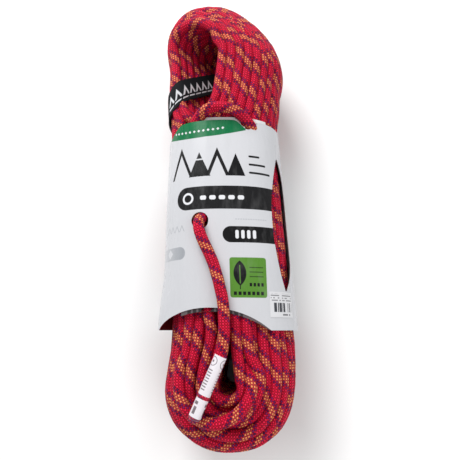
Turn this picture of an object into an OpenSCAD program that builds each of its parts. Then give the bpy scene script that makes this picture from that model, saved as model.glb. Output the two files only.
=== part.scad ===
// Dynamic climbing rope, 50 m long, folded into a hank and held by a printed card sleeve.
// The hank lies on its back: its length runs along Y, the head loops point to +Y.

/* [Rope] */
// Diameter of the rope
rope_d = 10; // [9:0.1:11]
// Wall of the woven sheath
sheath_wall = 1; // [0.8:0.1:1.4]
// Cords in the core round the middle one
core_cords = 6; // [5:1:8]

/* [Hank] */
// How deep the loops settle, which presses them flat on the ground
settle = 3; // [2:0.5:5]
// Overall length of the hank
hank_len = 448; // [430:2:480]
// Width across the foot loops
foot_w = 122; // [116:1:132]
// Thickness of the foot loops
foot_h = 100; // [94:1:108]
// Length from the tip of the foot to its widest place
foot_round = 77; // [60:1:84]
// Width across the head loops
head_w = 125; // [118:1:134]
// Thickness of the head loops
head_h = 105; // [98:1:112]
// Length from the tip of the head to its widest place
head_round = 62; // [52:1:70]
// Sideways lean of the head loops
head_lean = 5.5; // [0:0.5:10]
// Slant of the head loops across the hank
head_slant = 19; // [0:0.5:22]
// Slant of the foot loops across the hank
foot_slant = 2; // [0:0.5:6]
// Rise of the sleeve above the ground
waist_lift = 0.6; // [0.4:0.1:1.4]
// Squareness of the bundle's cross-section
squareness = 2.5; // [2.1:0.1:3]

/* [Eyes] */
// Width of the eye in the head loops
head_eye_w = 30; // [24:1:34]
// How far the eye in the head loops reaches past the middle of the tie band
eye_past_band = 41; // [30:1:44]
// Turn of the head loops about the hank's length
head_turn = 34; // [28:1:38]
// Width of the eye in the foot loops
foot_eye_w = 16; // [12:1:22]
// Length of the eye in the foot loops
foot_eye_len = 42; // [30:1:48]

/* [Sleeve] */
// Length of the sleeve along the hank
sleeve_len = 193; // [180:1:200]
// Distance from the tip of the foot to the sleeve
sleeve_start = 103; // [98:1:110]
// Width of the bundle at the lower edge of the sleeve
sleeve_foot_w = 125; // [120:1:130]
// Width of the bundle at the upper edge of the sleeve
sleeve_head_w = 109; // [104:1:116]
// Thickness of the bundle inside the sleeve
sleeve_h = 97; // [92:1:102]
// Thickness of the card
card_t = 0.6; // [0.4:0.1:0.8]
// Turn of the sleeve about the hank's length
sleeve_turn = 18; // [14:1:22]
// Depth of the arched cut in the lower edge
arch_depth = 19; // [14:1:24]
// Width of the arched cut
arch_w = 118; // [110:1:122]
// Length of the lens-shaped side windows
window_len = 127; // [110:1:135]
// Width of the side windows
window_w = 27; // [20:1:30]
// Diameter of the hole that the rope's end comes through
hole_d = 15.5; // [14:0.5:17]
// How far the liner shows past the edges of the outer card
liner_show = 3.5; // [2:0.5:5]
// Width of the liner across the front
liner_w = 96; // [88:1:98]
// Width of the glued lap at the back of the card
lap_w = 20; // [14:1:26]
// Thickness of the glue in the lap
glue_t = 0.2; // [0.1:0.05:0.3]
// Width of the sticker
sticker_w = 24; // [18:1:26]
// Height of the sticker
sticker_h = 22; // [16:1:26]
// Thickness of the sticker
sticker_t = 0.2; // [0.1:0.05:0.3]

/* [Tie band] */
// Width of the woven tie band
band_w = 20; // [14:1:24]
// Thickness of the woven tie band
band_t = 1.4; // [1:0.1:1.6]
// Length of the sewn lap of the band
band_lap = 28; // [20:1:32]
// Distance from the upper edge of the sleeve to the middle of the band
band_up = 46; // [40:1:50]

/* [Rope ends] */
// Length of the long label on each end
long_label = 33; // [28:1:36]
// Length of the short label on each end
short_label = 15; // [12:1:18]
// Gap between the two labels
label_gap = 3; // [2:0.5:4]
// Thickness of a label
label_t = 0.15; // [0.1:0.05:0.25]
// Wall of the clear shrink tube
shrink_t = 0.4; // [0.3:0.05:0.6]
// Thickness of the melted tip where sheath and core are fused
melt_t = 2; // [1.5:0.5:3]
// How far the shrink tube reaches past the melted tip
shrink_over = 3; // [1:0.5:4]

/* [Hidden] */

fit = 0.3;              // gap between soft neighbours
skin_fit = 0.05;        // gap between layers of a rope's end
rope_r = rope_d / 2;
big = 400;              // larger than any section of the hank

// Places along the hank
foot_tip = -hank_len / 2;
head_tip = hank_len / 2;

// Loops end in a blunt tip: how square across, how square upwards, and how thick the tip stays
foot_tip_form = [2.9, 3, 0.4];
head_tip_form = [2.3, 1.4, 0.4];

// A slanted tip reaches further than a straight one, by the support line of its round
function slanted(r, w, slant, p) = let (q = p / (p - 1))
    pow(pow(r, q) + pow(tan(slant) * w / 2, q), 1 / q);
foot_wide = foot_tip + slanted(foot_round, foot_w, foot_slant, foot_tip_form[0]);
head_wide = head_tip - slanted(head_round, head_w, head_slant, head_tip_form[0]);
foot_end = foot_wide - foot_round;
head_end = head_wide + head_round;
card_foot = foot_tip + sleeve_start;
card_head = card_foot + sleeve_len;
band_y = card_head + band_up;
band_end = band_y + band_w * 0.7;                       // past the band, which lies aslant
card_in = card_t + 2 * fit;                             // turns to the outer card's inner face
waist_low = waist_lift + card_in + card_t;
ring_n = 44;            // points round a section
tip_half = 4;           // half width of the blunt tip of a loop bundle

// The head leans to the left and the foot to the right, so that the whole stays centred on X
card_reach = sleeve_foot_w / 2 + card_in + card_t;
foot_x = (head_lean + head_w / 2 - card_reach) / 2;
head_x = foot_x - head_lean;

// Sections: middle in X, half width, low, high
foot_sec = [foot_x, foot_w / 2, -settle, foot_h];
card_foot_sec = [foot_x, sleeve_foot_w / 2, waist_low, waist_low + sleeve_h];
card_head_sec = [head_x, sleeve_head_w / 2, waist_low, waist_low + sleeve_h];
band_sec = [head_x, (sleeve_head_w + head_w) / 4, waist_low, (waist_low + sleeve_h + head_h) / 2];
head_sec = [head_x, head_w / 2, -settle, head_h];

function ease(t) = t * t * (3 - 2 * t);
function between(a, b, t) = a + (b - a) * t;
function sgn_pow(v, p) = sign(v) * pow(abs(v), p);

// The bundle narrows to a blunt tip: t runs from 0 at the widest place to 1 at the tip
function tip_round(t, p) = pow(max(0, 1 - pow(t, p)), 1 / p);
tip_under = 0.72;       // share of the thickness that the tip keeps below
function tip_sec(s, t, form) = let (
        mid = (s[2] + s[3]) / 2,
        half = (s[3] - s[2]) / 2,
        up = half * between(form[2], 1, tip_round(t, form[1])),
        down = half * between(tip_under, 1, tip_round(t, 3)))
    [s[0], max(tip_half, s[1] * tip_round(t, form[0])), mid - down, mid + up];

// Section of the hank at a place along its length
function section(y) =
    y < foot_wide ? tip_sec(foot_sec, (foot_wide - y) / foot_round, foot_tip_form)
    : y < card_foot ? between(foot_sec, card_foot_sec, ease((y - foot_wide) / (card_foot - foot_wide)))
    : y < card_head ? between(card_foot_sec, card_head_sec, (y - card_foot) / sleeve_len)
    : y < band_y ? between(card_head_sec, band_sec, ease((y - card_head) / band_up))
    : y < band_end ? band_sec
    : y < head_wide ? between(band_sec, head_sec, ease((y - band_end) / (head_wide - band_end)))
    : tip_sec(head_sec, (y - head_wide) / head_round, head_tip_form);

// Slant of a section across the hank
function slant_at(y) =
    y < card_foot ? tan(foot_slant) * ease(min(1, (card_foot - y) / (card_foot - foot_wide)))
    : y > card_head ? -tan(head_slant) * ease(min(1, (y - card_head) / (head_wide - card_head)))
    : 0;

// A squared ring round the bundle, grown outwards, with its underside pressed flat
press = 1.12;
function ring(y, grow) = let (
        s = section(y),
        mid = (s[2] + s[3]) / 2,
        half = (s[3] - s[2]) / 2)
    [for (i = [0 : ring_n - 1]) let (
        a = 360 * i / ring_n,
        across = (s[1] + grow) * sgn_pow(cos(a), 2 / squareness),
        up = sgn_pow(sin(a), 2 / squareness),
        z = up > 0 ? mid + half * up : max(0, s[2], mid + half * press * up))
        [s[0] + across, y + slant_at(y) * across, z + grow * max(-1, min(1, up * press))]];

// One closed solid through a list of rings that all have the same count
module loft(rings) {
    n = len(rings[0]);
    last = len(rings) - 1;
    polyhedron(
        points = [for (r = rings, p = r) p],
        faces = concat(
            [[for (i = [n - 1 : -1 : 0]) i]],
            [for (k = [0 : last - 1], i = [0 : n - 1]) let (a = k * n + i, b = k * n + (i + 1) % n)
                each [[a, b, a + n], [b, b + n, a + n]]],
            [[for (i = [0 : n - 1]) last * n + i]]),
        convexity = 8);
}

// Places of the hank's rings: close together where the bundle is round
foot_steps = 10;
head_steps = 10;
waist_steps = 4;
ring_places = concat(
    [for (i = [0 : foot_steps]) foot_wide - foot_round * cos(90 * i / foot_steps)],
    [for (i = [1 : waist_steps - 1]) between(foot_wide, card_foot, i / waist_steps)],
    [card_foot, card_head],
    [for (i = [1 : waist_steps]) between(card_head, band_y, i / waist_steps)],
    [for (i = [0 : waist_steps - 1]) between(band_end, head_wide, i / waist_steps)],
    [for (i = [0 : head_steps]) head_wide + head_round * sin(90 * i / head_steps)]);

// Keeps a soft or folded piece as one faceted skin: a resize by nothing leaves its size alone
module one_skin() {
    resize([0, 0, 0]) children();
}

// A stretch of the bundle, grown outwards, between two places
module bundle(grow = 0, from = foot_end, to = head_end) {
    loft([for (y = concat([from], [for (p = ring_places) if (p > from && p < to) p], [to])) ring(y, grow)]);
}

// A tear-shaped eye: round towards the tip, narrow towards the sleeve
module eye(w, length) {
    hull() {
        circle(d = w, $fn = 32);
        translate([0, w - length]) circle(d = w / 3, $fn = 32);
    }
}

head_bundle = 43;       // thickness of the loops round the head eye
foot_bundle = 50;       // thickness of the loops round the foot eye
eye_left = 6;           // the head eye is off the middle
head_eye_x = head_x - eye_left;
head_eye_y = head_tip - head_bundle - head_eye_w / 2;
head_eye_len = head_eye_y + head_eye_w / 2 - band_y + eye_past_band;
foot_eye_y = foot_tip + foot_bundle + foot_eye_w / 2;
head_mid_z = head_h / 2;
foot_mid_z = foot_h / 2;

module head_eye() {
    translate([head_eye_x, head_eye_y, head_mid_z])
        rotate([0, -head_turn, 0])
            linear_extrude(big, center = true) eye(head_eye_w, head_eye_len);
}

module foot_eye() {
    translate([foot_x, foot_eye_y, foot_mid_z])
        linear_extrude(big, center = true)
            mirror([0, 1]) eye(foot_eye_w, foot_eye_len);
}

// Route of the free end: out of the turns at the left, in an arch over the front above the
// sleeve, in behind the outer card, and out again through its hole. Its places along the hank
// are counted from the upper edge of the sleeve, which holds it
route_from_edge = [
    [-41.5, -32, 70], [-40.5, -22, 75], [-38.5, -12, 81], [-35.5, -4.5, 87], [-31.5, 2, 91.8],
    [-26.5, 6.5, 98.3], [-20.5, 9.5, 104], [-13.5, 10.7, 106.5], [-6, 10.9, 107], [1.5, 9.8, 106.5],
    [9, 7, 104.5], [15.5, 2.8, 101], [21.5, -2.5, 96.5], [27, -10, 90], [31.5, -19.5, 86],
    [34, -32, 84], [33, -46, 84.5], [28, -61, 87], [17, -74, 89], [4, -81.5, 89.5], [-9, -86, 89],
    [-17.5, -89.5, 90], [-22.5, -93, 94.5], [-25, -97, 100.5], [-25.5, -103.5, 105.8],
    [-24, -110.5, 107.5], [-19.6, -121, 107], [-13.5, -133.5, 107], [-9.6, -145.5, 107],
    [-6, -158, 107], [-3.6, -170.5, 107], [-2.6, -183, 107], [-2.5, -193, 107], [-3.2, -203, 107],
    [-5.2, -214, 106.5]];
tail_route = [for (p = route_from_edge) [p[0], card_head + p[1], p[2]]];
end_aim = [-21.3, -48.3, -1.5];                 // direction of the straight labelled end
tail_end = tail_route[len(tail_route) - 1];
tube_sides = 12;

function unit(v) = v / norm(v);
function heading(path, i) = unit(i == 0 ? path[1] - path[0]
    : i == len(path) - 1 ? end_aim
    : unit(path[i + 1] - path[i]) + unit(path[i] - path[i - 1]));
function tube_ring(path, i, r) = let (
        t = heading(path, i),
        side = unit(cross(t, [0.2, 0.1, 1])),
        up = cross(side, t))
    [for (k = [0 : tube_sides - 1]) let (a = 360 * k / tube_sides)
        path[i] + r * (cos(a) * side + sin(a) * up)];

module swept(path, r) {
    loft([for (i = [0 : len(path) - 1]) tube_ring(path, i, r)]);
}

// The rope lies over the front from here on: up to here the liner and the turns give way to it
dip_point = 12;
front_start = 24;
arch_top = 8;           // before this point the rope is still behind the liner
module press_in(grow, first = 0) {
    swept([for (i = [first : front_start]) tail_route[i]], rope_r + grow);
}

inner_x = foot_x;       // the inner end lies between the limbs
inner_z = 46;
inner_depth = 32;       // where it leaves the turns, under the edge of the sleeve
inner_len = 94;         // up to where its labels begin
inner_root = card_head - inner_depth;
inner_cap_y = inner_root - inner_len;

shrink_r = rope_r + label_t + shrink_t + 2 * skin_fit;

module rope_hank() color([0.8, 0.1, 0.2]) one_skin() {
    difference() {
        bundle();
        head_eye();
        foot_eye();
        press_in(card_t + 2 * fit);
        translate([inner_x, inner_root, inner_z]) rotate([90, 0, 0])
            cylinder(r = shrink_r + fit, h = inner_root - foot_eye_y, $fn = 48);
    }
}

module rope_tail() color([0.84, 0.1, 0.22]) swept(tail_route, rope_r);

module rope_inner_run() color([0.84, 0.1, 0.22]) {
    translate([inner_x, inner_root, inner_z]) rotate([90, 0, 0])
        cylinder(d = rope_d, h = inner_root - inner_cap_y, $fn = 48);
}

// Pieces of a labelled rope end, along +Z from where the labels begin
end_len = long_label + label_gap + short_label;
cord_ring = rope_r - sheath_wall;
cord_d = 2 * cord_ring * sin(180 / core_cords) / (1 + sin(180 / core_cords)) - skin_fit;
middle_cord_d = 2 * (cord_ring - cord_d) - 2 * skin_fit;

module end_sheath() color([0.84, 0.1, 0.22]) {
    difference() {
        cylinder(d = rope_d, h = end_len, $fn = 48);
        translate([0, 0, -1]) cylinder(r = cord_ring, h = end_len + 2, $fn = 48);
    }
}

module end_core() color([0.95, 0.94, 0.9]) {
    cylinder(d = middle_cord_d, h = end_len, $fn = 24);
    for (i = [0 : core_cords - 1]) rotate(360 * i / core_cords)
        translate([cord_ring - cord_d / 2 - skin_fit / 2, 0, 0])
            cylinder(d = cord_d, h = end_len, $fn = 24);
}

module end_melt() color([0.45, 0.1, 0.2]) {
    translate([0, 0, end_len]) cylinder(d = rope_d, h = melt_t, $fn = 48);
}

module label_wrap(from, length) color([0.93, 0.93, 0.95]) {
    translate([0, 0, from]) difference() {
        cylinder(r = rope_r + skin_fit + label_t, h = length, $fn = 48);
        translate([0, 0, -1]) cylinder(r = rope_r + skin_fit, h = length + 2, $fn = 48);
    }
}

module end_shrink_tube() color([0.6, 0.2, 0.4, 0.6]) {
    difference() {
        cylinder(r = shrink_r, h = end_len + melt_t + shrink_over, $fn = 48);
        translate([0, 0, -1]) cylinder(r = shrink_r - shrink_t, h = end_len + melt_t + 1 + skin_fit, $fn = 48);
    }
}

module at_outer_end() {
    flat = norm([end_aim[0], end_aim[1]]);
    translate(tail_end)
        rotate([0, atan2(flat, end_aim[2]), atan2(end_aim[1], end_aim[0])])
            children();
}

module at_inner_end() {
    translate([inner_x, inner_cap_y, inner_z]) rotate([90, 0, 0]) children();
}

// The left limb, from the outside of the turns to the near wall of the head eye
module left_limb(grow, from, to) {
    difference() {
        bundle(grow, from, to);
        translate([head_eye_x, head_eye_y, head_mid_z])
            rotate([0, -head_turn, 0])
                linear_extrude(big, center = true)
                    offset(delta = -grow)
                        hull() {
                            eye(head_eye_w, head_eye_len);
                            translate([big, 0]) eye(head_eye_w, head_eye_len);
                        }
    }
}

module band_slab(w) {
    translate([head_x, band_y, head_mid_z])
        rotate([0, 0, band_slant])
            cube([big, w, big], center = true);
}
band_slant = 6;

module band_layer(inside, outside, w) {
    intersection() {
        difference() {
            left_limb(outside, card_head + 2, head_wide);
            left_limb(inside, card_head + 1, head_wide + 1);
        }
        band_slab(w);
    }
}

module tie_band() color([0.08, 0.09, 0.1]) one_skin() band_layer(fit, fit + band_t, band_w);

// The band's end is laid over itself on the front of the limb and sewn down
module band_lap_patch() color([0.1, 0.1, 0.12]) one_skin() {
    intersection() {
        band_layer(2 * fit + band_t, 2 * fit + 2 * band_t, band_w - 1);
        translate([lap_x - band_lap / 2, band_y - big / 2, head_mid_z])
            cube([band_lap, big, big]);
    }
}
lap_x = head_x - head_w / 4;

// The sleeve's own middle is turned to the left of the hank's
module turned_sleeve() {
    translate([sleeve_mid[0], 0, sleeve_mid[1]]) rotate([0, -sleeve_turn, 0]) children();
}
sleeve_mid = [(foot_x + head_x) / 2, waist_low + sleeve_h / 2];

module card_shell(inside, from, to) {
    difference() {
        bundle(inside + card_t, from, to);
        bundle(inside, from - 1, to + 1);
    }
}

// A lens between two arcs, with its length along Y
module lens(length, w) {
    r = (length * length + w * w) / (4 * w);
    intersection() {
        translate([w / 2 - r, 0]) circle(r = r, $fn = 96);
        translate([r - w / 2, 0]) circle(r = r, $fn = 96);
    }
}

window_y = card_foot + sleeve_len / 2 + 1;
hole_left = 24.5;
hole_down = 97.5;       // from the upper edge of the sleeve
hole_at = [-hole_left, card_head - hole_down];

// The arched cut in the lower edge, through the front only
module foot_arch(depth) {
    arch_r = (arch_w * arch_w / 4 + arch_depth * arch_depth) / (2 * arch_depth);
    turned_sleeve() translate([0, card_foot + depth - arch_r, 0])
        cylinder(r = arch_r, h = big, $fn = 160);
}

// A dip in the upper edge where the rope goes in behind the card
dip_d = 26;
module rope_dip() {
    translate([tail_route[dip_point][0] + 3, card_head, big / 8])
        cylinder(d = dip_d, h = big, $fn = 64);
}

module outer_card() color([0.9, 0.9, 0.91]) one_skin() {
    difference() {
        card_shell(card_in, card_foot, card_head);
        foot_arch(arch_depth);
        rope_dip();
        for (side = [0, 180]) turned_sleeve() translate([0, window_y, 0])
            rotate([0, side + window_tilt, 0]) linear_extrude(big) lens(window_len, window_w);
        translate([hole_at[0], hole_at[1], big / 8]) cylinder(d = hole_d, h = big, $fn = 48);
    }
}
window_tilt = 75;

seam = 0.02;            // the pressed-in trough runs into the flat of the liner
// The liner lies under the outer card across the front and follows the rope that presses it in
module liner_card() color([0.85, 0.85, 0.86]) one_skin() {
    difference() {
        intersection() {
            union() {
                difference() {
                    card_shell(fit, card_foot, card_head + liner_show);
                    press_in(card_t + fit);
                }
                intersection() {
                    difference() {
                        press_in(card_t + fit + seam, arch_top);
                        press_in(fit, arch_top);
                    }
                    bundle(fit + card_t / 2, card_foot, card_head + liner_show);
                }
            }
            translate([sleeve_mid[0] - liner_w / 2, card_foot, big / 8])
                cube([liner_w, sleeve_len + 2 * liner_show, big]);
        }
        foot_arch(arch_depth - liner_show);
        translate([hole_at[0], hole_at[1], big / 8]) cylinder(d = hole_d, h = big, $fn = 48);
    }
}

// The card's two ends are lapped and glued at the back
lap_in = 5;             // the lap ends short of the card's edges
lap_len = sleeve_len - 2 * lap_in;
module back_strip(inside, t, w) {
    intersection() {
        difference() {
            bundle(inside + t, card_foot + lap_in, card_foot + lap_in + lap_len);
            bundle(inside, card_foot + lap_in - 1, card_foot + lap_in + lap_len + 1);
        }
        translate([sleeve_mid[0] - w / 2, card_foot, -big / 8]) cube([w, sleeve_len, big / 6]);
    }
}

module card_lap_strip() color([0.88, 0.88, 0.89]) one_skin() back_strip(card_in - glue_t - card_t, card_t, lap_w);
module glue_strip() color([0.9, 0.85, 0.6]) one_skin() back_strip(card_in - glue_t, glue_t, lap_w - 4);

// Price sticker on the front near the right lower corner
sticker_out = 50;
sticker_up = 22;        // from the lower edge of the sleeve
sticker_at = [sticker_out, card_foot + sticker_up];
module price_sticker() color([0.97, 0.97, 0.97]) one_skin() {
    intersection() {
        difference() {
            bundle(card_in + card_t + sticker_t, card_foot + 2, card_head);
            bundle(card_in + card_t, card_foot + 1, card_head + 1);
        }
        translate([sticker_at[0] - sticker_w / 2, sticker_at[1] - sticker_h / 2, sleeve_mid[1]])
            cube([sticker_w, sticker_h, big]);
    }
}

rope_hank();
rope_tail();
rope_inner_run();
at_outer_end() end_sheath();  // outer_end_sheath
at_outer_end() end_core();  // outer_end_core
at_outer_end() end_melt();  // outer_end_melt
at_outer_end() label_wrap(0, long_label);  // outer_end_long_label
at_outer_end() label_wrap(long_label + label_gap, short_label);  // outer_end_short_label
at_outer_end() end_shrink_tube();  // outer_end_shrink_tube
at_inner_end() end_sheath();  // inner_end_sheath
at_inner_end() end_core();  // inner_end_core
at_inner_end() end_melt();  // inner_end_melt
at_inner_end() label_wrap(0, long_label);  // inner_end_long_label
at_inner_end() label_wrap(long_label + label_gap, short_label);  // inner_end_short_label
at_inner_end() end_shrink_tube();  // inner_end_shrink_tube
tie_band();
band_lap_patch();
outer_card();
liner_card();
card_lap_strip();
glue_strip();
price_sticker();
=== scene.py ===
import math
import time
from functools import partial

import bmesh
import bpy
import numpy as np
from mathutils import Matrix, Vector


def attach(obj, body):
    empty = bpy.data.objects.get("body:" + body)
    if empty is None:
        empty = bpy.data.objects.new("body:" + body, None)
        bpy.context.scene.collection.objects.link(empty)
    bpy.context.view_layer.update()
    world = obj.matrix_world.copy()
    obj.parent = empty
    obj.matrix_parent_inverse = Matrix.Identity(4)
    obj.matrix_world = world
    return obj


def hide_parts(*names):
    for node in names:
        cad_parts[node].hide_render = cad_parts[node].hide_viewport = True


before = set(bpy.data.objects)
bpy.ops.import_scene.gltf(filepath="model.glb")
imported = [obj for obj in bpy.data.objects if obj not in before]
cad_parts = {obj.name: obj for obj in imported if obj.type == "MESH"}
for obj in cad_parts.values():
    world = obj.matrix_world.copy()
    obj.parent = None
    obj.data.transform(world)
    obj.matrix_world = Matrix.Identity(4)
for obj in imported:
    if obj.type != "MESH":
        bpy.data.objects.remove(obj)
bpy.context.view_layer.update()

startTime = time.time()
mm = 0.001
norm = np.linalg.norm


def report(text):
    print("[%5.1f s] %s" % (time.time() - startTime, text))


def plainObject(name, data):
    obj = bpy.data.objects.new(name, data)
    bpy.context.collection.objects.link(obj)
    return obj


# camera: above the hank, a little towards the foot
cameraPlace = {"spot": (2.3 * mm, -121 * mm, 469 * mm), "tilt": 13.2, "lens": 33.26, "sensor": 36}
cameraData = bpy.data.cameras.new("camera")
cameraData.lens = cameraPlace["lens"]
cameraData.sensor_width = cameraPlace["sensor"]
cameraData.clip_start = 0.01
camera = plainObject("camera", cameraData)
camera.location = cameraPlace["spot"]
camera.rotation_euler = (math.radians(cameraPlace["tilt"]), 0, 0)
bpy.context.scene.camera = camera

# the hank of turns: sizes repeated from the part's source
hank = {
    "ropeDiameter": 10 * mm, "contact": 9.35 * mm, "step": 5 * mm, "turns": 55, "seed": 10,
    "length": 448 * mm, "footRound": 77 * mm, "headRound": 62 * mm,
    "footWidth": 122 * mm, "headWidth": 125 * mm, "footHeight": 100 * mm, "headHeight": 105 * mm,
    "footX": 1.85 * mm, "headX": -3.65 * mm, "sleeveFoot": -121 * mm, "sleeveHead": 72 * mm,
    "sleeveFootWidth": 125 * mm, "sleeveHeadWidth": 109 * mm, "sleeveLow": 2.4 * mm, "sleeveHeight": 97 * mm,
    "bandY": 118 * mm, "bandEnd": 132 * mm, "settle": 3 * mm, "squareness": 2.5,
    "headSlant": 19, "footSlant": 2, "headForm": (2.3, 1.4, 0.4), "footForm": (2.9, 3, 0.4),
    "headTurn": 36, "leftLean": 12, "rightLean": -12, "footTurn": 4, "stackHalf": (53.5 * mm, 43.5 * mm),
    "headEye": (-2.5 * mm, 166 * mm), "headEyeHalf": 15 * mm, "headEyeLow": 77 * mm, "headEyeLong": 84 * mm,
    "footEye": (3.5 * mm, -166 * mm), "footEyeHalf": 8 * mm, "footEyeHigh": -138 * mm, "footEyeLong": 26 * mm,
    "wander": 0.04, "rounds": 240, "squeezeLeft": 9 * mm, "squeezeRight": 2.5 * mm,
    "bandGap": 2.2 * mm, "cardGap": 2 * mm, "push": 1.5, "stiffness": 0.058, "pull": 0.04, "spacing": 0.5,
    "pairsEvery": 12, "pairsWithin": 4 * mm, "pairsSkip": 6, "skinSlack": 0.3 * mm, "skinPull": 0.7,
    "middleGap": 5.2 * mm, "middleHigh": 51 * mm, "proud": 9 * mm, "raised": 8 * mm,
    "sides": 14, "spans": (4 * mm, 14 * mm),
}


def ease(t):
    t = np.clip(t, 0, 1)
    return t * t * (3 - 2 * t)


# from 0 at a place to 1 a span further on, both in millimetres
def ramp(y, start, span):
    return ease((y - start * mm) / (span * mm))


def tipRound(t, p):
    return np.maximum(0, 1 - np.clip(t, 0, 1) ** p) ** (1 / p)


def unit(vectors):
    return vectors / norm(vectors, axis=-1)[..., None]


def stepsOf(line):
    return norm(np.diff(line, axis=0), axis=1)


def farAlong(line):
    return np.concatenate([[0], np.cumsum(stepsOf(line))])


# where an end of the hank is widest, from the far point of its slanted curve
def widestAt(end, sign):
    power, slant = hank[end + "Form"][0], math.tan(math.radians(hank[end + "Slant"]))
    q = power / (power - 1)
    reach = (hank[end + "Round"] ** q + (slant * hank[end + "Width"] / 2) ** q) ** (1 / q)
    return sign * hank["length"] / 2 - sign * reach


footWide, headWide = widestAt("foot", -1), widestAt("head", 1)


# middle in X, half width, low and high of the bundle at places along Y, drawn in by a margin
def hankSection(y, inset):
    h = hank
    low, high = h["sleeveLow"], h["sleeveLow"] + h["sleeveHeight"]
    held = [h["headX"], (h["sleeveHeadWidth"] + h["headWidth"]) / 4, low, (high + h["headHeight"]) / 2]
    rows = np.array([
        [footWide, h["footX"], h["footWidth"] / 2, -h["settle"], h["footHeight"]],
        [h["sleeveFoot"], h["footX"], h["sleeveFootWidth"] / 2, low, high],
        [h["sleeveHead"], h["headX"], h["sleeveHeadWidth"] / 2, low, high],
        [h["bandY"]] + held, [h["bandEnd"]] + held,
        [headWide, h["headX"], h["headWidth"] / 2, -h["settle"], h["headHeight"]]])
    k = np.clip(np.searchsorted(rows[:, 0], y) - 1, 0, len(rows) - 2)
    t = np.clip((y - rows[k, 0]) / (rows[k + 1, 0] - rows[k, 0]), 0, 1)
    t = np.where(k == 1, t, ease(t))[..., None]
    mid, wide, low, high = np.moveaxis(rows[k, 1:] * (1 - t) + rows[k + 1, 1:] * t, -1, 0)
    wide, low, high = wide - inset, np.maximum(low, 0) + inset, high - inset
    centre, tall = (low + high) / 2, (high - low) / 2
    for at, form in (((footWide - y) / (h["footRound"] - inset), h["footForm"]),
                     ((y - headWide) / (h["headRound"] - inset), h["headForm"])):
        low = np.where(at > 0, centre - tall * (0.72 + 0.28 * tipRound(at, 3)), low)
        low = np.minimum(low, centre - 1 * mm)
        high = np.where(at > 0, centre + tall * (form[2] + (1 - form[2]) * tipRound(at, form[1])), high)
        wide = np.where(at > 0, wide * tipRound(at, form[0]), wide)
    return mid, np.maximum(wide, 1 * mm), low, high


def slantAt(y):
    h = hank
    foot = ease((h["sleeveFoot"] - y) / (h["sleeveFoot"] - footWide))
    head = ease((y - h["sleeveHead"]) / (headWide - h["sleeveHead"]))
    return math.tan(math.radians(h["footSlant"])) * foot - math.tan(math.radians(h["headSlant"])) * head


# below 0 inside the bundle, above 0 outside it, about in metres
def outside(points, inset):
    x, y = points[..., 0], points[..., 1]
    flat = y
    for _ in range(3):
        flat = y - slantAt(flat) * (x - hank["footX"] * (flat < 0) - hank["headX"] * (flat >= 0))
    first, last = footWide - hank["footRound"] + inset, headWide + hank["headRound"] - inset
    mid, wide, low, high = hankSection(np.clip(flat, first, last), inset)
    centre, tall = (low + high) / 2, (high - low) / 2
    n = hank["squareness"]
    squeezeLeft = hank["squeezeLeft"] * ramp(y, -190, 70) * (0.3 + 0.7 * (1 - ramp(y, -100, 40)))
    squeezeRight = hank["squeezeRight"] * ramp(y, -140, 25)
    narrow = np.where(x < mid, squeezeLeft, squeezeRight) * (1 - ramp(y, 40, 35))
    across = np.abs(x - mid) / (wide - narrow)
    up = (points[..., 2] - centre) / tall
    up = np.abs(np.where(up < 0, up / 1.06, up))
    reach = (across ** n + up ** n) ** (1 / n)
    beyond = np.maximum(0, np.maximum(flat - last, first - flat))
    return (reach - 1) * np.minimum(np.minimum(wide, tall), 40 * mm) + beyond


# how far the ring of turns is turned about the hank's length; near the head each limb leans on its own
def ringTurn(y, side=0.0):
    head = math.radians(hank["headTurn"]) * ramp(y, -30, 100)
    foot = math.radians(hank["footTurn"]) * ramp(y, -105, -40)
    lean = np.where(side < 0, hank["leftLean"], hank["rightLean"]) * np.abs(side) * ramp(y, 74, 30)
    return head + foot + np.radians(lean)


# lanes fill half of the squared section like stacked pipes, and are walked to and fro
def stackLanes(count):
    wide, tall = hank["stackHalf"]
    n = hank["squareness"]

    def rowsAt(pitch):
        rows = []
        rise = pitch * 0.866
        number = int(2 * tall / rise) + 1
        start = tall - (number - 1) * rise
        for j in range(number):
            q = start + j * rise - 1 * mm
            limit = wide * max(0, 1 - abs(q / tall) ** n) ** (1 / n)
            first = pitch * (0.55 if j % 2 else 1.02)
            rows.append([(p, q / tall, limit) for p in np.arange(first, limit + 0.1 * pitch, pitch)])
        return [row for row in rows if row]

    small, large = 5 * mm, 16 * mm
    for _ in range(40):
        pitch = (small + large) / 2
        if sum(map(len, rowsAt(pitch))) >= count:
            small = pitch
        else:
            large = pitch
    rows = rowsAt(small)
    while sum(map(len, rows)) > count:
        rows[0].pop()
    rows = [row for row in rows if row]
    report("lanes %s, pitch %.2f mm" % ([len(row) for row in rows], small / mm))
    out = np.array([lane for j, row in enumerate(rows) for lane in (row if j % 2 else row[::-1])])
    share = np.clip((out[:, 0] - 5 * mm) / np.maximum(out[:, 2] - 5 * mm, 1 * mm), 0, 1)
    return np.stack([share, out[:, 1]], 1), np.repeat(np.arange(len(rows)), [len(row) for row in rows])


# at the foot one top turn crosses over its row, from next to the eye to the outside
def footPartners(lanes, rowOf):
    partner = np.arange(len(lanes))
    top = np.nonzero(rowOf == rowOf[-1])[0]
    if len(top) < 4:
        top = np.nonzero(rowOf == rowOf[-1] - 1)[0]
    top = top[np.argsort(lanes[top, 0])]
    partner[top] = np.roll(top, 1)
    return partner, top[0]


# distance from a starting point along a direction to the skin of the bundle
def reachOf(start, direction, inset):
    near, far = np.zeros(start.shape[:-1]), np.full(start.shape[:-1], 0.25)
    for _ in range(22):
        middle = (near + far) / 2
        out = outside(start + direction * middle[..., None], inset) > 0
        near, far = np.where(out, near, middle), np.where(out, middle, far)
    return near


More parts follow.
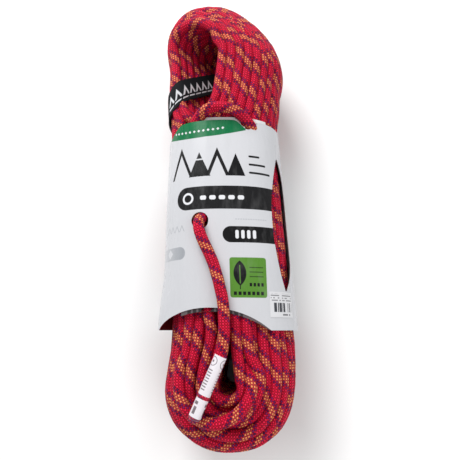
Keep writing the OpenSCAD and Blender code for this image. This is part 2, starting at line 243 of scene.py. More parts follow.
# one turn in ring coordinates: left limb up, head over to the right, right limb down, foot back
def turnStations(step):
    lowY, highY = hank["footEye"][1], hank["headEye"][1]
    straight = np.arange(lowY, highY, step)
    arc = np.linspace(0, math.pi, 26)[1:-1]
    none = np.zeros(len(straight))
    side = np.concatenate([none - 1, -np.cos(arc), none + 1, np.cos(arc)])
    lift = np.concatenate([none, np.sin(arc), none, -np.sin(arc)])
    base = np.concatenate([straight, np.full(len(arc), highY), straight[::-1], np.full(len(arc), lowY)])
    part = np.repeat([0, 1, 2, 3], [len(straight), len(arc), len(straight), len(arc)])
    return side, lift, base, part


# the turns' first places, before they settle against each other
def firstTurns():
    h = hank
    lanes, rowOf = stackLanes(h["turns"])
    partner, crosser = footPartners(lanes, rowOf)
    rng = np.random.default_rng(h["seed"])
    side, lift, base, part = turnStations(h["step"])
    count, stations = len(lanes), len(side)
    # the walk starts at the head end of the left limb
    start = int(np.argmax((part == 0) & (base > h["sleeveHead"])))
    side, lift, base, part = [np.roll(values, -start) for values in (side, lift, base, part)]
    after = np.arange(stations) > stations // 2
    # over the foot to the partner's lane, then on to the next lane under the sleeve on the left
    crossing = np.where((part == 3) | ((part == 0) & after), 1.0, 0.0)
    raising = crossing.copy()
    footArc = np.nonzero(part == 3)[0]
    arcShare = np.arange(len(footArc)) / len(footArc)
    crossing[footArc] = ease((arcShare - 0.1) / 0.9)
    raising[footArc] = ease((arcShare - 0.55) / 0.45)
    under = (base - h["sleeveFoot"] - 10 * mm) / (h["sleeveHead"] - h["sleeveFoot"] - 20 * mm)
    moving = np.where((part == 0) & after, ease(under), 0)
    following = np.concatenate([lanes[1:], lanes[-1:]])
    # slow wander where no sleeve holds the turns
    free = np.maximum(h["sleeveFoot"] + 10 * mm - base, base - h["sleeveHead"] + 10 * mm)
    free = ease(free / (50 * mm))
    angle = np.linspace(0, 2 * math.pi, stations, endpoint=False)
    places = []
    for a, changing in ((0, crossing), (1, raising)):
        place = lanes[:, a:a + 1] * (1 - changing) + lanes[partner, a:a + 1] * changing
        places.append(place * (1 - moving) + following[:, a:a + 1] * moving)
    for wave in (1, 2):
        phase = rng.uniform(0, 2 * math.pi, (2, count, 1))
        size = rng.normal(0, h["wander"] / wave, (2, count, 1))
        places = [places[a] + size[a] * np.sin(wave * angle + phase[a]) * free for a in (0, 1)]
    share, q = np.clip(places[0], 0, 1), np.clip(places[1], -0.97, 0.97)
    inset = h["ropeDiameter"] / 2
    turn, leaning = ringTurn(base + lift * 40 * mm), ringTurn(base + lift * 40 * mm, side)
    none = np.zeros(stations)
    across = np.stack([np.cos(turn), none, np.sin(turn)], -1)
    normal = np.stack([-np.sin(turn), none, np.cos(turn)], -1)
    upward = np.stack([-np.sin(leaning), none, np.cos(leaning)], -1)
    mid = hankSection(base, inset)[0]
    mid = mid + (h["headEye"][0] - mid) * ramp(base, 65, 30)
    mid = mid + (h["footEye"][0] - mid) * ramp(base, -125, -25)
    centre = np.stack([mid, base, np.full(stations, h["middleHigh"])], -1)
    ray = unit(across * side[:, None] + np.array([0, 1.0, 0]) * lift[:, None])
    inner = h["middleGap"] + h["headEyeHalf"] * ease((base - h["headEyeLow"] - 10 * mm) / (60 * mm))
    inner = inner + h["footEyeHalf"] * ease((h["footEyeHigh"] - base) / (25 * mm))
    probe = centre + ray * (inner + 14 * mm)[:, None]
    up, down = reachOf(probe, upward, inset), reachOf(probe, -normal, inset)
    rise = ((up - down) / 2 + q * (up + down) / 2)[..., None]
    near = centre + ray * inner[:, None] + np.where(rise > 0, upward, normal) * rise
    reach = reachOf(near, np.broadcast_to(ray, near.shape), inset)
    points = near + ray * (share * np.maximum(reach, 4 * mm))[..., None]
    # the crossing turn may stand proud of the bundle
    arch = ease((h["footEyeHigh"] - 5 * mm - base) / (20 * mm)) * ((part == 3) | (base < -100 * mm))
    proud = np.zeros((count, stations))
    proud[crosser] = h["proud"] * arch
    points[crosser, :, 2] += h["raised"] * arch
    return points, base, proud, np.broadcast_to(side, share.shape)


# route of the free end, repeated from the part's source
freeEnd = {
    "route": [
        (-41.5, 40, 70), (-40.5, 50, 75), (-38.5, 60, 81), (-35.5, 67.5, 87), (-31.5, 74, 91.8),
        (-26.5, 78.5, 98.3), (-20.5, 81.5, 104), (-13.5, 82.7, 106.5), (-6, 82.9, 107),
        (1.5, 81.8, 106.5), (9, 79, 104.5), (15.5, 74.8, 101), (21.5, 69.5, 96.5), (27, 62, 90),
        (31.5, 52.5, 86), (34, 40, 84), (33, 26, 84.5), (28, 11, 87), (17, -2, 89), (4, -9.5, 89.5),
        (-9, -14, 89), (-17.5, -17.5, 90), (-22.5, -21, 94.5), (-25, -25, 100.5), (-25.5, -31.5, 105.8),
        (-24, -38.5, 107.5), (-19.6, -49, 107), (-13.5, -61.5, 107), (-9.6, -73.5, 107), (-6, -86, 107),
        (-3.6, -98.5, 107), (-2.6, -111, 107), (-2.5, -121, 107), (-3.2, -131, 107), (-5.2, -142, 106.5)],
    "aim": (-21.3, -48.3, -1.5), "beyond": 52 * mm,
    "inner": [(1.85, -104, 46), (1.85, -60, 46), (1.85, 0, 46), (1.85, 40, 46)],
}


def evenLine(line, step):
    length = farAlong(line)
    even = np.linspace(0, length[-1], max(2, int(round(length[-1] / step)) + 1))
    return np.stack([np.interp(even, length, line[:, a]) for a in range(3)], 1)


# a smooth line through points, sampled evenly
def smoothLine(points, step):
    at = np.concatenate([[0], np.cumsum(stepsOf(points) ** 0.5)])
    slope = np.gradient(points, at, axis=0)
    fine = np.linspace(0, at[-1], max(8, int(len(points) * 24)))
    k = np.clip(np.searchsorted(at, fine) - 1, 0, len(at) - 2)
    width = (at[k + 1] - at[k])[:, None]
    t = (fine - at[k])[:, None] / width
    line = ((2 * t ** 3 - 3 * t ** 2 + 1) * points[k] + (t ** 3 - 2 * t ** 2 + t) * width * slope[k]
            + (3 * t ** 2 - 2 * t ** 3) * points[k + 1] + (t ** 3 - t ** 2) * width * slope[k + 1])
    return evenLine(line, step)


# pairs of points that may touch, found in a grid of cells
def closePairs(points, reach, skip):
    cell = np.floor(points / reach).astype(np.int64) + 200
    key = (cell[:, 0] * 1000 + cell[:, 1]) * 1000 + cell[:, 2]
    order = np.argsort(key, kind="stable")
    found = []
    near = (-1, 0, 1)
    for shift in [(dx * 1000 + dy) * 1000 + dz for dx in near for dy in near for dz in near]:
        if shift < 0:
            continue
        low, high = [np.searchsorted(key[order], key + shift, side) for side in ("left", "right")]
        number = high - low
        first = np.repeat(np.arange(len(points)), number)
        second = order[np.arange(number.sum()) + np.repeat(low - np.cumsum(number) + number, number)]
        keep = np.abs(first - second) > skip
        if shift == 0:
            keep &= first < second
        found.append(np.stack([first[keep], second[keep]], 1))
    a, b = np.concatenate(found).T
    touching = norm(points[a] - points[b], axis=1) < reach
    return a[touching], b[touching]


def gather(index, push, number):
    return np.stack([np.bincount(index, push[:, a], number) for a in range(3)], 1)


def pushSideways(points, k, amount, angle):
    points[k, 0] += amount * np.cos(angle[k])
    points[k, 2] += amount * np.sin(angle[k])


# turns pushed apart, straightened and kept in the bundle's skin, clear of the eyes and on the floor
def settle(points, pinned, proud, side):
    h = hank
    contact, inset, step = h["contact"], h["ropeDiameter"] / 2, h["step"]
    skin = inset - h["skinSlack"]
    loose = ~pinned
    free = loose[:, None]
    eyes = ((h["headEye"], h["headEyeHalf"], h["headHeight"] / 2, h["headEyeLong"], 1),
            (h["footEye"], h["footEyeHalf"], h["footHeight"] / 2, h["footEyeLong"], -1))
    for turn in range(h["rounds"]):
        if turn % h["pairsEvery"] == 0:
            a, b = closePairs(points, contact + h["pairsWithin"], h["pairsSkip"])
        along = np.empty_like(points)
        along[1:-1] = points[2:] - points[:-2]
        along[0], along[-1] = points[1] - points[0], points[-1] - points[-2]
        along = unit(along)
        gap = points[b] - points[a]
        lead = along[a] + along[b] * np.sign(np.sum(along[a] * along[b], 1))[:, None]
        size = norm(lead, axis=1)[:, None]
        lead = lead / np.maximum(size, 1e-6)
        parallel = np.clip((size / 2 - 0.75) * 4, 0, 1)
        slide = np.sum(gap * lead, 1)[:, None]
        flat = gap - lead * slide * parallel
        distance = norm(flat, axis=1)
        reach = np.where(parallel[:, 0] > 0.5, 0.55 * step, 1)
        touching = (distance < contact) & (np.abs(slide[:, 0]) < reach)
        ta, tb = a[touching], b[touching]
        push = flat[touching] * ((contact / np.maximum(distance[touching], 1e-5) - 1) * 0.5)[:, None]
        count = np.bincount(ta, minlength=len(points)) + np.bincount(tb, minlength=len(points))
        move = gather(tb, push, len(points)) - gather(ta, push, len(points))
        points = points + np.where(free, h["push"] * move / np.maximum(count, 1)[:, None], 0)
        # even bending: curvature changes slowly along the rope
        for _ in range(2):
            bend = np.zeros_like(points)
            bend[2:-2] = points[:-4] - 4 * points[1:-3] + 6 * points[2:-2] - 4 * points[3:-1] + points[4:]
            points = points - np.where(free, h["stiffness"] * bend, 0)
        # a little pull straightens it, and its points keep an even spacing
        lift = np.zeros_like(points)
        lift[1:-1] = (points[:-2] + points[2:]) / 2 - points[1:-1]
        slip = np.sum(lift * along, axis=1)[:, None] * along
        points = points + np.where(free, h["pull"] * (lift - slip) + h["spacing"] * slip, 0)
        # skin of the bundle
        out = outside(points, skin) - proud
        bad = np.nonzero((out > 0) & loose)[0]
        if len(bad):
            p, e = points[bad], 0.5 * mm
            rises = [outside(p + d, skin) - outside(p - d, skin) for d in np.eye(3) * e]
            slope = np.stack(rises, 1) / (2 * e)
            slope /= np.maximum(norm(slope, axis=1), 1e-6)[:, None]
            points[bad] -= slope * np.minimum(out[bad], 3 * mm)[:, None] * h["skinPull"]
        # the open eyes
        y = points[:, 1]
        turnNow, leaning = ringTurn(y), ringTurn(y, side)
        outward = np.where(side < 0, -1, 1)
        for (eyeX, eyeY), half, eyeZ, length, sign in eyes:
            across, up = points[:, 0] - eyeX, points[:, 2] - eyeZ
            now = np.where(up * np.cos(turnNow) > across * np.sin(turnNow), leaning, turnNow)
            u = across * np.cos(now) + up * np.sin(now)
            v = (y - eyeY) * sign
            size = half * np.clip(0.33 + 0.67 * (v / length + 1), 0, 1) + inset
            hit = (v > -length) & (v <= 0) & (u * outward < size) & (np.abs(side) > 0.6) & loose
            k = np.nonzero(hit)[0]
            delta = np.minimum(size[k] - u[k] * outward[k], 6 * mm) * outward[k] * 0.4
            pushSideways(points, k, delta, now)
            r = np.hypot(u, v)
            k = np.nonzero((v > 0) & (r < half + inset) & loose)[0]
            delta = (half + inset - r[k]) * 0.6 / np.maximum(r[k], 1e-4)
            pushSideways(points, k, u[k] * delta, now)
            points[k, 1] += v[k] * delta * sign
        # the floor, with the card or the band between it and the rope
        inBand = ramp(y, 84, 8) * (1 - ramp(y, 120, 10))
        inCard = ramp(y, -134, 10) * (1 - ramp(y, 76, 8))
        lowest = inset + h["bandGap"] * inBand + h["cardGap"] * inCard
        points[:, 2] = np.where(loose, np.maximum(points[:, 2], lowest), points[:, 2])
    deep = contact - distance[touching]
    report("settled: %d pairs, %d touching, mean %.2f, worst %.2f mm" % (
        len(a), len(deep), deep.mean() / mm, deep.max() / mm))
    return points


def ropePath():
    step = hank["step"]
    turns, base, proud, side = firstTurns()
    # the last turn ends low on the left limb, where the free end takes over
    stop = len(base) - 1
    while base[stop] > -70 * mm or base[stop] < hank["footEye"][1] + 1 * mm:
        stop -= 1
    used = (len(turns) - 1) * len(base) + stop
    line, proud, side = turns.reshape(-1, 3)[:used], proud.ravel()[:used], side.ravel()[:used]
    inner, route = np.array(freeEnd["inner"]) * mm, np.array(freeEnd["route"]) * mm
    aim = unit(np.array(freeEnd["aim"], float))
    route = np.concatenate([route, [route[-1] + aim * d for d in np.linspace(0, freeEnd["beyond"], 8)[1:]]])
    head = smoothLine(np.concatenate([inner, line[:1] + [0, 0.02, 0], line[4:6]]), step)[:-2]
    join = smoothLine(np.concatenate([line[-3:], route[:3]]), step)
    tail = smoothLine(route, step)
    joinStart, joinEnd = [int(np.argmin(norm(join - point, axis=1))) for point in (line[-1], route[0])]
    path = np.concatenate([head, line[6:], join[joinStart + 1:joinEnd], tail])
    pinned = np.zeros(len(path), bool)
    pinned[:int(np.sum(head[:, 1] < 38 * mm))] = True
    pinned[-len(tail):] = True
    allowed, sides = np.zeros(len(path)), np.full(len(path), -1.0)
    allowed[len(head):len(head) + used - 6] = proud[6:]
    sides[len(head):len(head) + used - 6] = side[6:]
    report("path %.2f m, %d points" % (stepsOf(path).sum(), len(path)))
    return settle(path, pinned, allowed, sides)


def colour(red, green, blue):
    parts = [c / 255 for c in (red, green, blue)]
    return tuple(c / 12.92 if c < 0.04045 else ((c + 0.055) / 1.055) ** 2.4 for c in parts) + (1.0,)


def toned(shade, share):
    return tuple(c * share for c in shade[:3]) + (1,)


# a method that adds a Math node, with the wire as its first value or, reflected, as its second
def operator(operation, reflected=False):
    def work(self, *others):
        return self.math(operation, *(others + (self,) if reflected else (self,) + others))
    return work


# a socket of a shader or geometry tree that can be calculated with
class Wire:
    __add__, __radd__ = operator("ADD"), operator("ADD", True)
    __sub__, __rsub__ = operator("SUBTRACT"), operator("SUBTRACT", True)
    __mul__, __rmul__ = operator("MULTIPLY"), operator("MULTIPLY", True)
    __truediv__, __mod__ = operator("DIVIDE"), operator("FLOORED_MODULO")
    __pow__, __abs__ = operator("POWER"), operator("ABSOLUTE")
    __lt__, __gt__ = operator("LESS_THAN"), operator("GREATER_THAN")
    atLeast, atMost = operator("MAXIMUM"), operator("MINIMUM")
    floor, sine = operator("FLOOR"), operator("SINE")

    def __init__(self, tree, socket=None):
        self.tree, self.socket = tree, socket

    def node(self, kind, settings=None, inputs=None, output=0):
        made = self.tree.nodes.new(kind)
        for name, value in (settings or {}).items():
            setattr(made, name, value)
        for name, value in (inputs or {}).items():
            if isinstance(value, Wire):
                self.tree.links.new(value.socket, made.inputs[name])
            else:
                made.inputs[name].default_value = value
        return Wire(self.tree, made.outputs[output])

    def math(self, operation, *values):
        return self.node("ShaderNodeMath", {"operation": operation}, dict(enumerate(values)))

    def clipped(self):
        return self.atLeast(0.0).atMost(1.0)

    # from one colour to another by this share
    def mix(self, low, high):
        return self.node("ShaderNodeMix", {"data_type": "RGBA"}, {0: self, 6: low, 7: high}, 2)

    def noise(self, vector, scale, detail, rough=0.5):
        inputs = {"Vector": vector, "Scale": scale, "Detail": detail, "Roughness": rough}
        return self.node("ShaderNodeTexNoise", {}, inputs)

    def chance(self, *values):
        cell = self.join(*values, 0.0)
        return self.node("ShaderNodeTexWhiteNoise", {"noise_dimensions": "2D"}, {"Vector": cell})

    def split(self):
        return [self.node("ShaderNodeSeparateXYZ", {}, {0: self}, k) for k in range(3)]

    def join(self, *values):
        return self.node("ShaderNodeCombineXYZ", {}, dict(enumerate(values)))


# a material with constants on its shader, ready for links
class Finish:
    def __init__(self, name, **constants):
        self.material = bpy.data.materials.new(name)
        self.material.use_nodes = True
        tree = self.material.node_tree
        self.shader, self.wire = tree.nodes["Principled BSDF"], Wire(tree)
        for key, value in constants.items():
            self.shader.inputs[key.replace("_", " ")].default_value = value

    def link(self, name, wire):
        self.wire.tree.links.new(wire.socket, self.shader.inputs[name])

    def bump(self, height, distance, strength):
        inputs = {"Height": height, "Distance": distance, "Strength": strength}
        self.link("Normal", self.wire.node("ShaderNodeBump", {}, inputs))
        return self.material

    def uv(self, name):
        return self.wire.node("ShaderNodeUVMap", {"uv_map": name}).split()[:2]

    # places on a sheet, in millimetres across and along it
    def sheetPlace(self):
        u, v = self.uv("sheet")
        return u * 1000.0, v * 1000.0

    def place(self):
        return self.wire.node("ShaderNodeTexCoord", output=3)

    def grain(self, scale, detail=2.0):
        return self.wire.noise(self.place(), scale, detail)


# a finish of two colours mixed by one noise, which also makes its relief
def grainFinish(name, grain, shades, relief, **constants):
    finish = Finish(name, **constants)
    noise = finish.grain(*grain)
    finish.link("Base Color", noise.mix(*shades))
    finish.bump(noise, *relief)
    return finish, noise


# braided sheath: yarns of two families go over and under each other, and some of one family make the tracer;
# the shade between the yarns and on the second family's cells is painted into the colour
sheath = {
    "yarns": 12, "pitch": 27.5 * mm, "tracerYarns": 1.4, "fleckYarns": 3.4, "relief": 0.45 * mm,
    # under is painted shade on the second family's cells; gap is painted shade at the rims of the cells
    "red": colour(255, 40, 84), "deep": colour(236, 16, 58), "under": colour(160, 6, 38),
    "orange": colour(255, 152, 100), "coral": colour(196, 44, 62), "purple": colour(140, 34, 106),
    "navy": colour(62, 6, 66), "gap": colour(26, 0, 8),
}


def sheathFinish():
    s, yarns = sheath, sheath["yarns"]
    finish = Finish("sheath", Roughness=0.6, Specular_IOR_Level=0.12)
    wire = finish.wire
    u, v = finish.uv("wrap")
    rise = v / s["pitch"]
    first, second = (u + rise) * yarns, (u - rise) * yarns
    firstNumber, secondNumber = first.floor(), second.floor()
    a, b = first - firstNumber, second - secondNumber
    below = (firstNumber + secondNumber) % 2.0 > 0.5
    over = 1 - below
    across, along = over * a + below * b, over * b + below * a
    dome = (1 - (2 * across - 1) ** 2.0) * (1 - (2 * along - 1) ** 4.0)
    chance = wire.chance(firstNumber % float(yarns), firstNumber - secondNumber)
    yarnPlace = abs(((firstNumber + 0.01) / yarns) % 1.0 - 0.5) * yarns
    inTracer = yarnPlace < s["tracerYarns"]
    inFleck = (yarnPlace < s["fleckYarns"]) * (1 - inTracer)
    ground = (chance * 0.7).mix(s["red"], s["deep"])
    raised = inTracer.mix(inFleck.mix(ground, chance.mix(s["purple"], s["navy"])), s["orange"])
    # painted shade: the second family's cells take colours between the dark under colour and deep
    crossing = inTracer.mix((0.15 + chance * 0.6).mix(s["under"], s["deep"]), s["coral"])
    worn = wire.noise(wire.join(u * 3.0, v * 40.0, 0.0), 1.6, 3.0)
    # painted shade: each cell's colour falls to the dark gap colour towards its rim, following the cell's
    # dome
    light = ((dome ** 0.7) * (0.85 + 0.4 * worn)).clipped()
    finish.link("Base Color", light.mix(s["gap"], below.mix(raised, crossing)))
    threads = (across * 25.0).sine()
    return finish.bump(dome + threads * 0.06, s["relief"], 0.9)


# a Geometry Nodes tree with wires from its inputs
def nodeTree(name, **inputs):
    tree = bpy.data.node_groups.new(name, "GeometryNodeTree")
    for title, kind in inputs.items():
        tree.interface.new_socket(title, in_out="INPUT", socket_type="NodeSocket" + kind)
    tree.interface.new_socket("Mesh", in_out="OUTPUT", socket_type="NodeSocketGeometry")
    enter = tree.nodes.new("NodeGroupInput")
    return Wire(tree), [Wire(tree, enter.outputs[title]) for title in inputs]


# the end of a tree: its mesh made smooth and real, with a material
def closedTree(wire, mesh, finish):
    smooth = wire.node("GeometryNodeSetShadeSmooth", {}, {"Geometry": mesh})
    real = wire.node("GeometryNodeRealizeInstances", {}, {"Geometry": smooth})
    done = wire.node("GeometryNodeSetMaterial", {}, {"Geometry": real, "Material": finish})
    wire.tree.links.new(done.socket, wire.tree.nodes.new("NodeGroupOutput").inputs["Mesh"])
    return wire.tree


# a tube along a line of points, with a UV that counts round and along it
def tubeTree():
    inputs = {"Line": "Geometry", "Radius": "Float", "Sides": "Int", "Finish": "Material"}
    wire, (line, radius, sides, finish) = nodeTree("tube", **inputs)
    curve = wire.node("GeometryNodeMeshToCurve", {}, {"Mesh": line})
    circle = wire.node("GeometryNodeCurvePrimitiveCircle", {"mode": "RADIUS"},
                       {"Resolution": sides, "Radius": radius})
    share = wire.node("GeometryNodeSplineParameter")
    turned = wire.node("GeometryNodeStoreNamedAttribute", {"data_type": "FLOAT", "domain": "POINT"},
                       {"Geometry": circle, "Name": "round", "Value": share})
    tube = wire.node("GeometryNodeCurveToMesh", {},
                     {"Curve": curve, "Profile Curve": turned, "Fill Caps": True})
    around, along = [wire.node("GeometryNodeInputNamedAttribute", {"data_type": "FLOAT"}, {"Name": name})
                     for name in ("round", "along")]
    middle = wire.node("GeometryNodeFieldOnDomain", {"data_type": "FLOAT", "domain": "FACE"}, {0: around})
    place = wire.join(around + ((middle - around) > 0.3), along, 0.0)
    mapped = wire.node("GeometryNodeStoreNamedAttribute", {"data_type": "FLOAT2", "domain": "CORNER"},
                       {"Geometry": tube, "Name": "wrap", "Value": place})
    return closedTree(wire, mapped, finish)


# a mesh of points put through a tree, as a plain object
def shaped(name, mesh, tree, **values):
    holder = plainObject(name + "Places", mesh)
    modifier = holder.modifiers.new("nodes", "NODES")
    modifier.node_group = tree
    for item in tree.interface.items_tree:
        if item.name in values:
            modifier[item.identifier] = values[item.name]
    graph = bpy.context.evaluated_depsgraph_get()
    done = bpy.data.meshes.new_from_object(holder.evaluated_get(graph), preserve_all_data_layers=True,
                                           depsgraph=graph)
    done.name = name
    for attribute in ("round", "along"):
        if attribute in done.attributes:
            done.attributes.remove(done.attributes[attribute])
    bpy.data.objects.remove(holder)
    bpy.data.meshes.remove(mesh)
    return plainObject(name, done)


def madeTube(name, path, radius, sides, material):
    line = bpy.data.meshes.new(name + "Line")
    line.from_pydata(path.tolist(), [(i, i + 1) for i in range(len(path) - 1)], [])
    line.attributes.new("along", "FLOAT", "POINT").data.foreach_set("value", farAlong(path))
    return shaped(name, line, tubeTree(), Radius=radius, Sides=sides, Finish=material)


# fewer points where the rope runs straight
def thinned(path, fine, coarse):
    bend = np.zeros(len(path))
    bend[1:-1] = stepsOf(unit(np.diff(path, axis=0)))
    for _ in range(3):
        bend[1:-1] = np.maximum(bend[1:-1], 0.5 * (bend[:-2] + bend[2:]))
    keep, run, turned = [0], 0.0, 0.0
    for i, gap in enumerate(stepsOf(path)[:-1], 1):
        run += gap
        turned += bend[i]
        if run >= fine and (turned > 0.09 or run >= coarse):
            keep.append(i)
            run, turned = 0.0, 0.0
    return path[keep + [len(path) - 1]]


path = thinned(ropePath(), *hank["spans"])
rope = madeTube("rope", path, hank["ropeDiameter"] / 2, hank["sides"], sheathFinish())
report("rope made, %d points and %d faces" % (len(path), len(rope.data.polygons)))
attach(rope, "root")
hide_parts("rope_hank", "rope_tail", "rope_inner_run")


# a mesh with a UV at each corner of its faces, sharp where it turns past an angle
def madeMesh(name, verts, faces, uvName, uv, sharp, finishes):
    mesh = bpy.data.meshes.new(name)
    mesh.from_pydata(verts.tolist(), [], faces)
    mesh.uv_layers.new(name=uvName).data.foreach_set("uv", np.ravel(uv))
    mesh.polygons.foreach_set("use_smooth", np.ones(len(faces), bool))
    mesh.set_sharp_from_angle(angle=math.radians(sharp))
    for finish in finishes:
        mesh.materials.append(finish)
    return plainObject(name, mesh)


def facingOut(obj):
    work = bmesh.new()
    work.from_mesh(obj.data)
    bmesh.ops.recalc_face_normals(work, faces=work.faces)
    work.to_mesh(obj.data)
    work.free()
    return obj


# two sheets of quads, the second a size further on in the list of points, and a rim along their free edges
def sheetFaces(quads, size):
    edges = np.concatenate([quads[:, [n, (n + 1) % 4]] for n in range(4)])
    _, first, number = np.unique(np.sort(edges, 1) @ [size, 1], return_index=True, return_counts=True)
    a, b = edges[first[number == 1]].T
    return np.concatenate([quads, quads[:, ::-1] + size, np.stack([b, a, a + size, b + size], 1)])


# the sleeve of printed card: its marks and openings are placed in millimetres, and across is measured
# along the card from the middle of the front
card = {
    "thick": 0.6 * mm, "off": 1.8 * mm, "cell": 1.9, "girth": 369.0, "top": 72.3, "bottom": -121.6, "seed": 3,
    "arch": (-17, 52, 19), "window": (56, -23.5, 131, 12.5, 24), "hole": (-24, -25.5, 7.9),
    "dip": (23.5, 14, 9), "linerOff": 0.95 * mm, "linerHalf": 43.5, "linerShow": 3.5, "linerTop": 75.6,
    # inside is painted shade: the dark red of the rope in shadow under the card's lower edge
    "pressed": 5.9 * mm, "inside": colour(118, 14, 22), "strip": colour(92, 84, 86),
    "stripInk": colour(34, 28, 30), "lap": colour(214, 214, 214),
}


def sleeveRing(angle, y, grow):
    h = hank
    t = (y - h["sleeveFoot"]) / (h["sleeveHead"] - h["sleeveFoot"])
    mid = h["footX"] + (h["headX"] - h["footX"]) * t
    wide = (h["sleeveFootWidth"] + (h["sleeveHeadWidth"] - h["sleeveFootWidth"]) * t) / 2
    low, tall = h["sleeveLow"], h["sleeveHeight"] / 2
    power = 2 / h["squareness"]
    across, up = [np.sign(part) * np.abs(part) ** power for part in (np.cos(angle), np.sin(angle))]
    z = np.where(up > 0, low + tall + tall * up, np.maximum(low, low + tall + tall * 1.12 * up))
    return np.stack([mid + (wide + grow) * across, y + 0 * angle, z + grow * np.clip(up * 1.12, -1, 1)], -1)


# how far round the card each angle lies, at the sleeve's two ends
roundAngles = np.linspace(math.pi / 2, -1.5 * math.pi, 4001)
girths = [farAlong(sleeveRing(roundAngles, np.full(len(roundAngles), hank[end]), card["off"]))
          for end in ("sleeveFoot", "sleeveHead")]


# a place on the card, from millimetres across and along it, and the way round it there
def onSleeve(across, y, grow):
    t = (y * mm - hank["sleeveFoot"]) / (hank["sleeveHead"] - hank["sleeveFoot"])
    total = girths[0][-1] + (girths[1][-1] - girths[0][-1]) * t
    share = np.mod(across * mm / total, 1.0)
    low, high = [np.interp(share * length[-1], length, roundAngles) for length in girths]
    return sleeveRing(low + (high - low) * t, y * mm, grow), total / mm


def upperEdge(across):
    side = 10 * ease((-across - 42) / 26) * (1 - ease((-across - 88) / 45))
    middle, half, depth = card["dip"]
    curve = np.cos((across - middle) / half * math.pi / 2) ** 2
    return card["top"] - side - depth * np.where(np.abs(across - middle) < half, curve, 0)


def lowerEdge(across, depth):
    middle, half, _ = card["arch"]
    radius = (half * half + depth * depth) / (2 * depth)
    inside = np.clip(radius * radius - (across - middle) ** 2, 0, None)
    return card["bottom"] + np.maximum(0, depth - radius + np.sqrt(inside))


# below 0 inside an opening, in millimetres
def windowCut(across, y):
    middle, height, length, left, right = card["window"]
    wide = 2 * np.where(across < middle, left, right)
    radius = (length * length + wide * wide) / (4 * wide)
    return np.hypot(np.abs(across - middle) + radius - wide / 2, y - height) - radius


def holeCut(across, y):
    x, height, radius = card["hole"]
    return np.hypot(across - x, y - height) - radius


# slow dents and two long soft ridges in the card
def dents(across, y):
    rng = np.random.default_rng(card["seed"])
    dent = np.zeros_like(across)
    for _ in range(9):
        fa, fy = rng.uniform(-0.09, 0.09), rng.uniform(-0.07, 0.07)
        dent += rng.uniform(0.05, 0.16) * np.sin(across * fa + y * fy + rng.uniform(0, 6))
    for place, lean, high in ((-19, 0.03, 0.35), (-3, 0.05, 0.3)):
        dent += high * np.exp(-((across - place - lean * (y + 20)) / 3.5) ** 2) * ease((y + 30) / 60)
    dent += 2.6 * ease((-across - 42) / 30) * ease((-60 - y) / 60) * (1 - ease((-across - 90) / 30))
    return dent * mm


# a sheet round the sleeve: snapped to its openings, with two faces and a rim
def wrappedSheet(name, columns, low, high, grow, thick, cuts, finishes, closed=False):
    cell = card["cell"]
    rows = max(2, int((np.max(high(columns)) - np.min(low(columns))) / cell))
    across = np.repeat(columns[:, None], rows + 1, 1)
    y = low(across) + (high(across) - low(across)) * np.linspace(0, 1, rows + 1)[None]
    if closed:
        across = across * onSleeve(across, y, 0.0)[1] / card["girth"]
    keep = np.full(across.shape, np.inf)
    for cut in cuts:
        value = cut(across, y)
        side = (cut(across + 0.05, y) - cut(across - 0.05, y)) / 0.1
        along = (cut(across, y + 0.05) - cut(across, y - 0.05)) / 0.1
        beyond = ~(value < 0)
        near = np.any([np.roll(beyond, (da, db), (0, 1)) for da in (-1, 0, 1) for db in (-1, 0, 1)], axis=0)
        snap = (~beyond & near) | (beyond & (value < 0.35 * cell))
        steep = np.maximum(side ** 2 + along ** 2, 0.2)
        across = across - np.where(snap, value * side / steep, 0)
        y = y - np.where(snap, value * along / steep, 0)
        keep = np.minimum(keep, np.where(snap, 0, value))
    count, wide = len(columns), rows + 1
    i, k = np.meshgrid(np.arange(count if closed else count - 1), np.arange(rows), indexing="ij")
    j = (i + 1) % count
    corners = [(i, k), (j, k), (j, k + 1), (i, k + 1)]
    solid = np.max([keep[a, b] for a, b in corners], axis=0) > 0
    quads = np.stack([(a * wide + b)[solid] for a, b in corners], -1)
    sides = [onSleeve(across, y, grow(across, y) - drop)[0].reshape(-1, 3) for drop in (0, thick)]
    verts = np.concatenate(sides)
    faces = sheetFaces(quads, across.size)
    used, corner = np.unique(faces, return_inverse=True)
    corner = corner.reshape(-1, 4)
    uv = np.tile(np.stack([across.ravel(), y.ravel()], 1) * mm, (2, 1))[used][corner]
    wraps = np.zeros(len(faces), bool)
    wraps[:2 * len(quads)] = np.tile((j < i)[solid], 2)
    uv[:, :, 0] += (wraps[:, None] & (uv[:, :, 0] < 0)) * np.median(onSleeve(across, y, 0.0)[1]) * mm
    sheet = madeMesh(name, verts[used], corner.tolist(), "sheet", uv, 50, finishes)
    sheet.data.polygons.foreach_set("material_index", (np.arange(len(faces)) >= len(quads)).astype(int))
    sheet.data.validate()
    return sheet


# a finish with the fine relief of paper, and the noise of its fibres
def fibreFinish(name, rough, shine):
    finish = Finish(name, Roughness=rough, Specular_IOR_Level=shine)
    fibre = finish.grain(900.0, 3.0)
    finish.bump(fibre, 0.05 * mm, 0.4)
    return finish, fibre


def paperFinish(name, shade):
    finish, fibre = fibreFinish(name, 0.75, 0.3)
    finish.link("Base Color", (fibre * 0.5 + 0.2).clipped().mix(shade, toned(shade, 0.9)))
    return finish.material


# the card's inner side: white, and dark red along its lower edge: painted shade, the red of the rope in
# shadow under the card
def insideFinish():
    finish, fibre = fibreFinish("cardInside", 0.75, 0.2)
    y = finish.place().split()[1]
    white = fibre.mix(colour(216, 216, 216), colour(200, 200, 200))
    # painted shade: the lower edge turns dark red
    finish.link("Base Color", ((-0.086 - y) / 0.01).clipped().mix(white, card["inside"]))
    return finish.material


